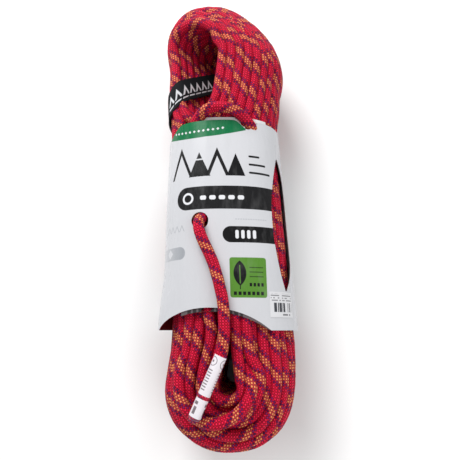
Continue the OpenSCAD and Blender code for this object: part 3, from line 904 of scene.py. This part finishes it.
# thin glue, dried in uneven beads
def glueFinish():
    finish = Finish("driedGlue", Specular_IOR_Level=0.45)
    beads = finish.grain(220.0)
    finish.link("Base Color", finish.grain(40.0).mix(colour(226, 214, 170), colour(204, 186, 132)))
    finish.link("Roughness", 0.25 + 0.35 * beads)
    return finish.bump(beads, 0.1 * mm, 0.6)


printLook = {
    "card": colour(203, 204, 208), "green": colour(8, 106, 62), "band": colour(20, 20, 22),
    "pill": colour(8, 8, 10), "leaf": colour(84, 132, 48), "ink": colour(10, 11, 14),
    "pale": colour(150, 154, 160), "white": colour(220, 221, 225), "smear": colour(198, 198, 200),
    "crease": 1.1 * mm, "soft": 0.3,
}


# marks with soft edges, in millimetres
def boxMask(x, y, x0, x1, y0, y1, corner=0.0):
    dx = abs(x - (x0 + x1) / 2) - ((x1 - x0) / 2 - corner)
    dy = abs(y - (y0 + y1) / 2) - ((y1 - y0) / 2 - corner)
    outer = (dx.atLeast(0.0) ** 2.0 + dy.atLeast(0.0) ** 2.0) ** 0.5 - corner
    return (0.5 - (outer + dx.atLeast(dy).atMost(0.0)) / printLook["soft"]).clipped()


def discMask(x, y, cx, cy, radius):
    return (0.5 - (((x - cx) ** 2.0 + (y - cy) ** 2.0) ** 0.5 - radius) / printLook["soft"]).clipped()


def ringMask(x, y, cx, cy, radius, inner):
    return discMask(x, y, cx, cy, radius) * (1 - discMask(x, y, cx, cy, inner))


def peakMask(x, y, cx, y0, half, high, stroke=0.0):
    rise = (y - y0) / high + abs(x - cx) / half
    filled = (0.5 - (rise - 1) * high / 0.5).clipped() * (y > y0)
    return filled * ((rise - (1 - stroke)) * high / 0.5 + 0.5).clipped() if stroke else filled


# a coordinate that repeats every pitch from start to end
def repeated(x, start, end, pitch):
    return (x - start) % pitch - pitch / 2, (x > start) * (x < end)


# a row of like marks: the mask's shape, repeated across
def rowMask(mask, x, y, row, *shape):
    local, among = repeated(x, *row)
    return mask(local, y, *shape) * among


# white inside, and darker along its lower part: a strip with darker strokes and a bar near its lower edge
def linerFinish():
    finish, fibre = fibreFinish("linerPaper", 0.6, 0.3)
    x, y = finish.sheetPlace()
    strokes = rowMask(boxMask, x, y, (-38.0, 12.0, 5.2), -1.7, 1.7, -112, -90, 0.4)
    strip = strokes.atLeast(boxMask(x, y, -38, 12, -92, -88)).mix(card["strip"], card["stripInk"])
    finish.link("Base Color", (y < -60).mix(fibre.mix(colour(222, 222, 222), colour(208, 208, 208)), strip))
    return finish.material


def printFinish():
    look = printLook
    finish = Finish("print", Roughness=0.3, Specular_IOR_Level=0.16)
    wire = finish.wire
    u, v = finish.uv("sheet")
    x, y = u * 1000.0, v * 1000.0
    box, ring, peak = [partial(mask, x, y) for mask in (boxMask, ringMask, peakMask)]
    boxes, peaks = partial(rowMask, boxMask, x, y), partial(rowMask, peakMask, x, y)
    # green field with a row of small diamonds
    left, right = (x + 28).atMost(0.0), (x + 28).atLeast(0.0)
    lower = 55.3 + 0.0054 * left ** 2.0 + 0.003 * right ** 2.0
    field = (0.5 + (y - lower) / 0.4).clipped() * (x < 20.5) * (x > -80)
    local, among = repeated(x, -54.0, 2.0, 4.6)
    diamonds = (0.5 - (abs(local) + abs(y - lower - 6.6) - 1.35) / 0.4).clipped() * among
    # ridge of peaks with three strokes beside it
    ridge = peak(-43, 16.5, 12.5, 31, 0.24)
    for cx, half, high, stroke in ((-24, 10.5, 24, 0.0), (-7, 11, 28, 0.3), (10, 8.5, 22, 0.0)):
        ridge = ridge.atLeast(peak(cx, 16.5, half, high, stroke))
    ridge = ridge * (1 - box(-32, -16, 32.6, 34))
    for k, length in enumerate((22, 17, 11)):
        ridge = ridge.atLeast(box(22, 22 + length, 19 + 8 * k, 21 + 8 * k, 1.0))
    # a ring and dashes on the dark band
    marks = ring(-35.5, -4.2, 5.6, 3.6).atLeast(boxes((-25.0, 18.0, 8.6), -2.9, 2.9, -6.2, -2.2, 1.6))
    # faint line of dashes, and pale marks at the left
    faint = boxes((7.5, 37.0, 2.3), -0.8, 0.8, -25, -24, 0.2) * 0.5
    faint = faint.atLeast(peaks((-63.0, -39.0, 6.0), 0.0, -34.5, 3.0, 6.5, 0.25) * 0.7)
    faint = faint.atLeast(box(-75, -38.5, -60, -48.5, 5.7) * (((x + 72) / 30).clipped() * 0.75 + 0.15))
    # leaf, lines and a bar on the green square
    bow = ((abs(x - 10.5) + 8.0) ** 2.0 + (y + 73) ** 2.0) ** 0.5 - 13.6
    leaf = (0.5 - bow / 0.4).clipped() * (1 - box(10.1, 10.9, -82, -66))
    leaf = leaf.atLeast(box(10.1, 10.9, -87, -82))
    for k in range(3):
        leaf = leaf.atLeast(box(19, 31.5, -68.4 - 4 * k, -67.6 - 4 * k) * 0.8)
    leaf = leaf.atLeast(boxes((18.0, 32.0, 3.5), -1.1, 1.1, -84.5, -81.5, 0.3))
    leaf = leaf.atLeast(boxes((4.0, 32.0, 4.0), -1.3, 1.3, -92, -89))
    shade = finish.grain(14.0).mix(look["card"], toned(look["card"], 0.94))
    for mask, name in (
            (field, "green"), (diamonds, "white"), (ridge, "ink"), (box(-47.5, 62, -15, 6.8, 10.8), "band"),
            (marks, "white"), (box(-3.8, 62, -45.8, -31, 7.3), "pill"),
            (boxes((6.5, 27.5, 5.25), -1.5, 1.5, -42.3, -34.5, 1.4), "white"), (faint, "pale"),
            ((abs(x + 58) + abs(y + 54) - 4.4) < 0, "card"), (box(1.6, 34.4, -94.2, -59.2, 2.2), "leaf"),
            (leaf, "ink")):
        shade = mask.mix(shade, look[name])
    # handling marks, and creases near the hole and the lower edge
    smear = wire.noise(wire.join(u * 3.0, v, 0.0), 38.0, 4.0, 0.6)
    finish.link("Base Color", ((smear - 0.5) * 0.3).clipped().mix(shade, look["smear"]))
    finish.link("Roughness", 0.2 + 0.16 * smear)
    creased = wire.node("ShaderNodeTexNoise", {}, {
        "Vector": wire.join(u * 2.4, v, 0.0), "Scale": 24.0, "Detail": 3.0, "Distortion": 0.8})
    return finish.bump(creased, look["crease"], 0.5)


# a plain sticker with bars and small dashes
sticker = {
    "place": (36.5, 63.5, -110.5, -88.5), "thick": 0.2 * mm, "gap": 0.06 * mm,
    "paper": colour(214, 214, 217), "ink": colour(52, 54, 60),
}


def stickerFinish():
    finish = Finish("stickerPrint", Roughness=0.45, Specular_IOR_Level=0.3)
    wire = finish.wire
    x, y = finish.sheetPlace()
    bar = wire.node("ShaderNodeTexWhiteNoise", {"noise_dimensions": "1D"}, {"W": (x / 0.55).floor()})
    bars = (bar > 0.45) * boxMask(x, y, 40.5, 62.5, -106, -98)
    chance = wire.chance((x / 1.6).floor(), (y / 2.1).floor())
    local, among = repeated(y, -97.0, -90.0, 2.1)
    words = (chance > 0.3) * boxMask(x, local, 37.5, 62, -0.5, 0.5) * among * 0.7
    ink = bars.atLeast(words).atLeast(boxMask(x, y, 43, 60, -109, -107.6) * (chance > 0.35) * 0.8)
    finish.link("Base Color", ink.mix(sticker["paper"], sticker["ink"]))
    return finish.bump(finish.grain(600.0), 0.04 * mm, 0.3)


def columnsOver(first, last):
    return np.linspace(first, last, int((last - first) / card["cell"]) + 1)


def cardGrow(across, y):
    return card["off"] + dents(across, y)


# the liner's distance from the sleeve, pressed down where the free end lies on it
def linerGrow(across, y):
    place = onSleeve(across, y, card["linerOff"])[0]
    drop = np.zeros_like(across)
    for point in path[-tailPoints:]:
        d = np.hypot(place[..., 0] - point[0], place[..., 1] - point[1])
        under = point[2] - np.sqrt(np.maximum(0, card["pressed"] ** 2 - d ** 2))
        drop = np.maximum(drop, np.where(d < card["pressed"], place[..., 2] - under, 0))
    return card["linerOff"] - np.minimum(drop, 22 * mm)


tailPoints = 0
while path[-1 - tailPoints][1] < 84 * mm and tailPoints < 90 and path[-1 - tailPoints][2] > 68 * mm:
    tailPoints += 1
girth, cardInside = card["girth"], insideFinish()
sleeveCard = wrappedSheet(
    "sleeveCard", np.linspace(-girth / 2, girth / 2, int((girth + 2) / card["cell"]), endpoint=False),
    lambda a: lowerEdge(a, card["arch"][2]), upperEdge, cardGrow, card["thick"],
    (windowCut, lambda a, y: windowCut(np.mod(a + girth / 2, girth), y), holeCut),
    (printFinish(), cardInside), closed=True)
linerCard = wrappedSheet(
    "linerCard", columnsOver(-card["linerHalf"], card["linerHalf"]),
    lambda a: lowerEdge(a, card["arch"][2] - card["linerShow"]) + 0.2,
    lambda a: card["linerTop"] - 6 * ease((-a - 26) / 10), linerGrow, card["thick"],
    (lambda a, y: holeCut(a, y) + 0.5,), (linerFinish(), cardInside))
x0, x1, y0, y1 = sticker["place"]
priceSticker = wrappedSheet(
    "priceSticker", columnsOver(x0, x1), lambda a: y0 + 0 * a, lambda a: y1 + 0 * a,
    lambda a, y: cardGrow(a, y) + sticker["thick"] + sticker["gap"], sticker["thick"], (),
    (stickerFinish(), paperFinish("stickerBack", card["lap"])))
lapStrip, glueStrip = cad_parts["card_lap_strip"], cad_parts["glue_strip"]
for piece, material in ((lapStrip, paperFinish("lapPaper", card["lap"])), (glueStrip, glueFinish())):
    piece.data.materials.clear()
    piece.data.materials.append(material)
for piece, slot, node in ((sleeveCard, "card", "outer_card"), (linerCard, "card", "liner_card"),
                          (priceSticker, "sticker", "price_sticker")):
    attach(piece, "root")
    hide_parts(node)
report("card pieces made: %d and %d faces" % (len(sleeveCard.data.polygons), len(linerCard.data.polygons)))

# a loop round the left limb's strands, pulled tight: it leans up towards the eye on its front
band = {
    "start": (-58, 104), "lean": 0.9, "leanFrom": (15, 30), "width": 20, "thick": 1.4 * mm, "off": 0.4 * mm,
    "sides": 120, "lap": (-59, 30, 28), "marks": (84, 17), "stitchPitch": 2.6 * mm, "stitchLong": 1.0 * mm,
    "thread": 0.28 * mm, "rows": 9, "weave": colour(24, 26, 29), "mark": colour(208, 210, 214),
    "stitch": colour(60, 62, 66),
}


# height along the hank of the band's middle line at a place across it and up it, in millimetres
def bandLine(x, z):
    low, span = band["leanFrom"]
    return band["start"][1] + band["lean"] * (x - band["start"][0]) * ease((z - low) / span)


# where the left limb's strands pass through the band, at an offset from its middle line
def limbPoints(offset):
    far = path[:, 1] - (bandLine(path[:, 0] / mm, path[:, 2] / mm) + offset) * mm
    cross = np.nonzero(far[:-1] * far[1:] < 0)[0]
    share = far[cross] / (far[cross] - far[cross + 1])
    spots = path[cross] + (path[cross + 1] - path[cross]) * share[:, None]
    turn = ringTurn(spots[:, 1])
    x, z = spots[:, 0] - hank["headEye"][0], spots[:, 2] - hank["headHeight"] / 2
    return spots[x * np.cos(turn) + z * np.sin(turn) < 0][:, [0, 2]]


# a loop pulled tight round circles about spots, with an even spacing
def tightLoop(spots, radius, count):
    angle = np.linspace(0, 2 * math.pi, 1440, endpoint=False)
    direction = np.stack([np.cos(angle), np.sin(angle)], 1)
    loop = spots[np.argmax(spots @ direction.T, axis=0)] + radius * direction
    closed = np.concatenate([loop, loop[:1]])
    length = farAlong(closed)
    start = length[np.argmin(loop[:, 0])]
    even = (np.linspace(0, length[-1], count, endpoint=False) + start) % length[-1]
    return np.stack([np.interp(even, length, closed[:, a]) for a in range(2)], 1)


def bandRows():
    offsets = np.linspace(-1, 1, band["rows"]) * band["width"] / 2
    radius = hank["ropeDiameter"] / 2 + band["off"]
    flats = np.array([tightLoop(limbPoints(offset), radius, band["sides"]) for offset in offsets])
    for _ in range(2):
        flats[1:-1] = (flats[:-2] + flats[1:-1] * 2 + flats[2:]) / 4
        flats = (np.roll(flats, 1, 1) + flats * 2 + np.roll(flats, -1, 1)) / 4
        flats[0], flats[-1] = (flats[0] + flats[1]) / 2, (flats[-1] + flats[-2]) / 2
    x, z = flats[..., 0], flats[..., 1]
    spread = 1 + 0.3 * ease((z / mm - band["leanFrom"][0]) / band["leanFrom"][1])
    y = (bandLine(x / mm, z / mm) + offsets[:, None] * spread) * mm
    return np.stack([x, y, np.maximum(z, band["thick"] + 0.2 * mm)], -1)


# directions out of a ribbon whose rows run along it, away from a middle point
def ribbonNormal(rows, along, middle):
    normal = np.cross(along, np.gradient(rows, axis=0))
    normal /= np.maximum(norm(normal, axis=2), 1e-9)[..., None]
    return -normal if np.sum(normal * (rows - middle)) < 0 else normal


def ribbonMesh(name, rows, finish, closed):
    count, length = rows.shape[:2]
    along = np.roll(rows, -1, axis=1) - np.roll(rows, 1, axis=1) if closed else np.gradient(rows, axis=1)
    raised = rows + ribbonNormal(rows, along, rows.mean(axis=(0, 1))) * band["thick"]
    j, i = np.meshgrid(np.arange(count - 1), np.arange(length if closed else length - 1), indexing="ij")
    k = (i + 1) % length
    quads = np.stack([j * length + i, j * length + k, (j + 1) * length + k, (j + 1) * length + i], -1)
    faces = sheetFaces(quads.reshape(-1, 4), count * length)
    far = farAlong(np.concatenate([rows[count // 2], rows[count // 2][:1]]))
    flat = np.stack([np.tile(far[:length], count), np.repeat(np.linspace(-1, 1, count), length)], 1)
    uv = np.tile(flat, (2, 1))[faces]
    if closed:
        wraps = np.ptp(uv[:, :, 0], axis=1) > far[-1] / 2
        uv[:, :, 0] += np.where(wraps[:, None] & (uv[:, :, 0] < far[-1] / 2), far[-1], 0)
    verts = np.concatenate([rows.reshape(-1, 3), raised.reshape(-1, 3)])
    return facingOut(madeMesh(name, verts, faces.tolist(), "sheet", uv, 50, (finish,)))


def bandFinish(name, marked):
    finish = Finish(name, Roughness=0.75, Specular_IOR_Level=0.1)
    u, v = finish.uv("sheet")
    x, y = u * 1000.0, v * 10.0
    rib = ((x * 4.2).sine() * 0.5 + 0.5) * ((y * 5.6 + (x * 0.67).floor() * 3.14).sine() * 0.5 + 0.5)
    shade = (rib * 0.5).mix(band["weave"], toned(band["weave"], 1.9))
    if marked:
        local, among = repeated(x, bandFar - band["marks"][0], bandFar - band["marks"][1], 9.6)
        foot = boxMask(local, y, -3.8, 3.8, -6.8, -5.6, 0.3)
        peak = peakMask(local, y, 0.0, -4.0, 4.4, 9.0, 0.5).atLeast(foot)
        shade = (peak * among).mix(shade, band["mark"])
    finish.link("Base Color", shade)
    return finish.bump(rib, 0.3 * mm, 0.6)


# a strip of the band: part of the loop, lifted by an amount and narrowed
def bandStrip(first, last, lift, wide):
    rows = bandLoops[:, np.arange(first, last) % band["sides"]]
    middle = rows.mean(axis=0, keepdims=True)
    rows = middle + (rows - middle) * wide
    return rows + ribbonNormal(rows, np.gradient(rows, axis=1), bandLoops.mean(axis=(0, 1))) * lift


# stitches: short threads laid in rows, each copied onto a point
def stitchTree():
    inputs = {"Places": "Geometry", "Length": "Float", "Thread": "Float", "Finish": "Material"}
    wire, (places, length, thread, finish) = nodeTree("stitches", **inputs)
    ball = wire.node("GeometryNodeMeshUVSphere", {}, {"Segments": 8, "Rings": 6, "Radius": 1.0})
    size = wire.join(thread, thread, length)
    bead = wire.node("GeometryNodeTransform", {}, {"Geometry": ball, "Scale": size})
    aim = wire.node("GeometryNodeInputNamedAttribute", {"data_type": "FLOAT_VECTOR"}, {"Name": "aim"})
    turned = wire.node("FunctionNodeAlignRotationToVector", {"axis": "Z"}, {"Vector": aim})
    points = wire.node("GeometryNodeMeshToPoints", {}, {"Mesh": places})
    copies = wire.node("GeometryNodeInstanceOnPoints", {},
                       {"Points": points, "Instance": bead, "Rotation": turned})
    return closedTree(wire, copies, finish)


def stitches(name, rows, material):
    lines = [evenLine(row, band["stitchPitch"]) for row in (rows[0], rows[-1], rows[:, 0], rows[:, -1])]
    aims = np.concatenate([np.diff(line, axis=0) for line in lines])
    points = np.concatenate([line[:-1] for line in lines]) + aims * 0.5
    mesh = bpy.data.meshes.new(name + "Places")
    mesh.from_pydata(points.tolist(), [], [])
    mesh.attributes.new("aim", "FLOAT_VECTOR", "POINT").data.foreach_set("vector", aims.ravel())
    return shaped(name, mesh, stitchTree(), Length=band["stitchLong"], Thread=band["thread"], Finish=material)


bandLoops = bandRows()
middleRow = bandLoops[band["rows"] // 2]
bandFar = stepsOf(middleRow).sum() / mm
tieBand = ribbonMesh("tieBand", bandLoops, bandFinish("woven", True), True)
lapX, lapZ, lapLength = band["lap"]
lapMiddle = int(np.argmin(np.hypot(middleRow[:, 0] - lapX * mm, middleRow[:, 2] - lapZ * mm)))
lapHalf = int(lapLength / 2 / (bandFar / band["sides"]))
lapRows = bandStrip(lapMiddle - lapHalf, lapMiddle + lapHalf, band["thick"] + 0.1 * mm, 0.96)
bandLap = ribbonMesh("bandLap", lapRows, bandFinish("wovenPlain", False), False)
sewRows = bandStrip(lapMiddle - lapHalf + 1, lapMiddle + lapHalf - 1, 2 * band["thick"] + 0.12 * mm, 0.8)
threadShades = (band["stitch"], toned(band["stitch"], 2.4))
threadLook, _ = grainFinish("thread", (2600.0, 2.0), threadShades, (0.05 * mm, 0.5), Roughness=0.65)
bandStitches = stitches("bandStitches", sewRows, threadLook.material)
for piece, nodes in ((tieBand, ("tie_band",)), (bandLap, ("band_lap_patch",)), (bandStitches, ())):
    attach(piece, "root")
    if nodes:
        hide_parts(*nodes)
report("band made, loop %.0f mm" % bandFar)

# labels, melted tips and clear shrink tubes of the rope's two ends
ends = {
    "long": 33 * mm, "gap": 3 * mm, "short": 15 * mm, "melt": 2 * mm, "over": 3 * mm, "label": 5.2 * mm,
    "tube": 5.65 * mm, "wall": 0.35 * mm, "labelThick": 0.12 * mm, "sides": 32, "innerStart": (1.85, -54, 46),
    "paper": colour(232, 234, 238), "ink": colour(30, 32, 38), "tint": colour(196, 70, 110),
    "pale": colour(230, 150, 180), "melted": colour(112, 20, 52), "burnt": colour(70, 14, 60),
}


def labelFinish(name, short):
    finish = Finish(name, Roughness=0.4)
    u, v = finish.uv("wrap")
    x = ((u + 0.25) % 1.0) * (2 * math.pi * ends["label"] / mm)
    y = (v / ends["short" if short else "long"]) * (15.0 if short else 33.0)
    if short:
        local, among = repeated(x, 2.0, 30.0, 5.6)
        upper = boxMask(local, y, -2.4, 0.4, 6.6, 12.6, 0.3)
        mark = boxMask(local, y, -2.0, 1.6, 2.5, 5.0, 0.3).atLeast(upper) * among
    else:
        x = x % 10.9
        local, among = repeated(y, 11.5, 30.0, 2.3)
        mark = boxMask(x, local, 2.2, 6.8, -0.45, 0.45, 0.1) * among
        mark = mark.atLeast(ringMask(x, y, 5.4, 5.4, 3.9, 3.3)).atLeast(discMask(x, y, 5.4, 5.4, 1.0))
    mark = mark * (0.65 + 0.35 * finish.grain(700.0))
    finish.link("Base Color", mark.mix(ends["paper"], ends["ink"]))
    return finish.bump(finish.grain(420.0), 0.1 * mm, 0.3)


# a closed body turned about a line: places along it with their radii
def turnedBody(name, start, aim, profile, material):
    sides, last = ends["sides"], len(profile) - 1
    side = unit(np.cross(aim, [0.2, 0.1, 1.0]))
    angle = np.arange(sides) * 2 * math.pi / sides
    ring = np.cos(angle)[:, None] * side + np.sin(angle)[:, None] * np.cross(aim, side)
    verts = np.concatenate([start + aim * at + ring * radius for at, radius in profile])
    faces, uvs = [], []
    for k, ((low, _), (high, _)) in enumerate(zip(profile, profile[1:])):
        for i in range(sides):
            j = (i + 1) % sides
            faces.append((k * sides + i, k * sides + j, (k + 1) * sides + j, (k + 1) * sides + i))
            uvs += [(i / sides, low), ((i + 1) / sides, low), ((i + 1) / sides, high), (i / sides, high)]
    faces += [tuple(range(sides))[::-1], tuple(range(last * sides, (last + 1) * sides))]
    uvs += [(0.0, 0.0)] * (2 * sides)
    return facingOut(madeMesh(name, verts, faces, "wrap", uvs, 40, (material,)))


clearLook, ripple = grainFinish("shrink", (260.0, 2.0), (ends["tint"], ends["pale"]), (0.15 * mm, 0.4),
                                Roughness=0.16, Specular_IOR_Level=0.5)
clearLook.link("Alpha", 0.03 + 0.09 * ripple)
meltLook, _ = grainFinish("melt", (420.0, 3.0), (ends["melted"], ends["burnt"]), (0.4 * mm, 0.6),
                          Roughness=0.3)
longLabel, shortLabel = labelFinish("label", False), labelFinish("labelShort", True)


def ropeEnd(which, start, aim):
    e = ends
    shortAt = e["long"] + e["gap"]
    tipAt = shortAt + e["short"]
    total = tipAt + e["melt"] + e["over"]
    aim = unit(np.array(aim, float))
    radius, label, tube = hank["ropeDiameter"] / 2, e["label"], e["tube"]
    inside = label - e["labelThick"]
    long, short = [[(0.0, inside), (0.0, label), (e[name], label), (e[name], inside)]
                   for name in ("long", "short")]
    bead = [(math.sin(a) * 2.4 * mm, radius - 1.6 * mm + math.cos(a) * 1.6 * mm)
            for a in np.linspace(0, 1.5, 7)[1:]]
    tip = [(0.0, radius)] + bead + [(2.6 * mm, 1.5 * mm)]
    clear = [(0.0, tube - e["wall"]), (0.0, tube), (tipAt, tube), (tipAt + 2.5 * mm, tube - 0.2 * mm),
             (total - 0.6 * mm, tube - 1.5 * mm), (total, tube - 2.0 * mm)]
    pieces = []
    for name, node, slot, at, profile, finish in (
            ("LongLabel", "long_label", "label", 0.0, long, longLabel),
            ("ShortLabel", "short_label", "label", shortAt, short, shortLabel),
            ("Melt", "melt", "melt", tipAt, tip, meltLook.material),
            ("ShrinkTube", "shrink_tube", "shrink", 0.0, clear, clearLook.material)):
        piece = turnedBody(which + name, start + aim * at, aim, profile, finish)
        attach(piece, "root")
        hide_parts(which + "_end_" + node)
        pieces.append(piece)
    return pieces


outerPieces = ropeEnd("outer", np.array(freeEnd["route"][-1]) * mm, freeEnd["aim"])
innerPieces = ropeEnd("inner", np.array(ends["innerStart"]) * mm, (0, -1, 0))
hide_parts("outer_end_sheath", "outer_end_core", "inner_end_sheath", "inner_end_core")
report("rope ends made")

ropeLength = float(stepsOf(path).sum())
report("rope %.2f m" % ropeLength)

# floor and light, with painted light: the floor glows away from the hank
studio = {
    "floor": 0.8, "lift": 0.16, "farGlow": 0.6, "world": 0.42, "key": 18, "fill": 9, "half": (62 * mm, 215 * mm),
    "fade": 60 * mm, "shift": 12 * mm, "farGlowFrom": 0.22, "farGlowOver": 0.6, "aim": (0, 0, 0.05),
}


# what the camera, reflections and clear parts see in place of the plain grey
def seen(wire):
    shares = [wire.node("ShaderNodeLightPath", output=k) for k in (0, 3, 6)]
    return shares[0].atLeast(shares[1]).atLeast(shares[2])


floorLook = Finish("floor", Base_Color=(studio["floor"],) * 3 + (1,), Emission_Strength=1.0)
floorX, floorY, _ = floorLook.place().split()
# painted light: the floor glows for camera, glossy and transmission rays, not at all in a box round the hank,
# more beyond it over a fade, and more again far off; the hank's shadow stays inside the box
overX = (abs(floorX - studio["shift"]) - studio["half"][0]).atLeast(0.0)
overY = (abs(floorY) - studio["half"][1]).atLeast(0.0)
floorFar = (overX ** 2.0 + overY ** 2.0) ** 0.5
floorFarGlow = ((floorFar - studio["farGlowFrom"]) / studio["farGlowOver"]).clipped() * studio["farGlow"]
floorLift = (floorFar / studio["fade"]).clipped() * studio["lift"]
floorLook.link("Emission Color", (floorLift + floorFarGlow) * seen(floorLook.wire))
floorMesh = bpy.data.meshes.new("floor")
floorMesh.from_pydata([(-3, -3, 0), (3, -3, 0), (3, 3, 0), (-3, 3, 0)], [], [(0, 1, 2, 3)])
floorMesh.materials.append(floorLook.material)
floor = plainObject("floor", floorMesh)


def areaLamp(name, spot, size, power):
    data = bpy.data.lights.new(name, "AREA")
    data.size = size
    data.energy = power
    lamp = plainObject(name, data)
    lamp.location = spot
    lamp.rotation_euler = (Vector(studio["aim"]) - Vector(spot)).to_track_quat("-Z", "Y").to_euler()


areaLamp("key", (-0.5, 0.9, 0.85), 0.7, studio["key"])
areaLamp("fill", (0.8, -0.7, 0.9), 1.2, studio["fill"])
world = bpy.data.worlds.new("world")
world.use_nodes = True
sky = studio["world"] + (1 - studio["world"]) * seen(Wire(world.node_tree))
world.node_tree.links.new(sky.socket, world.node_tree.nodes["Background"].inputs["Color"])
bpy.context.scene.world = world
bpy.context.scene.view_settings.view_transform = "Standard"
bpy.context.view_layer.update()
report("done")
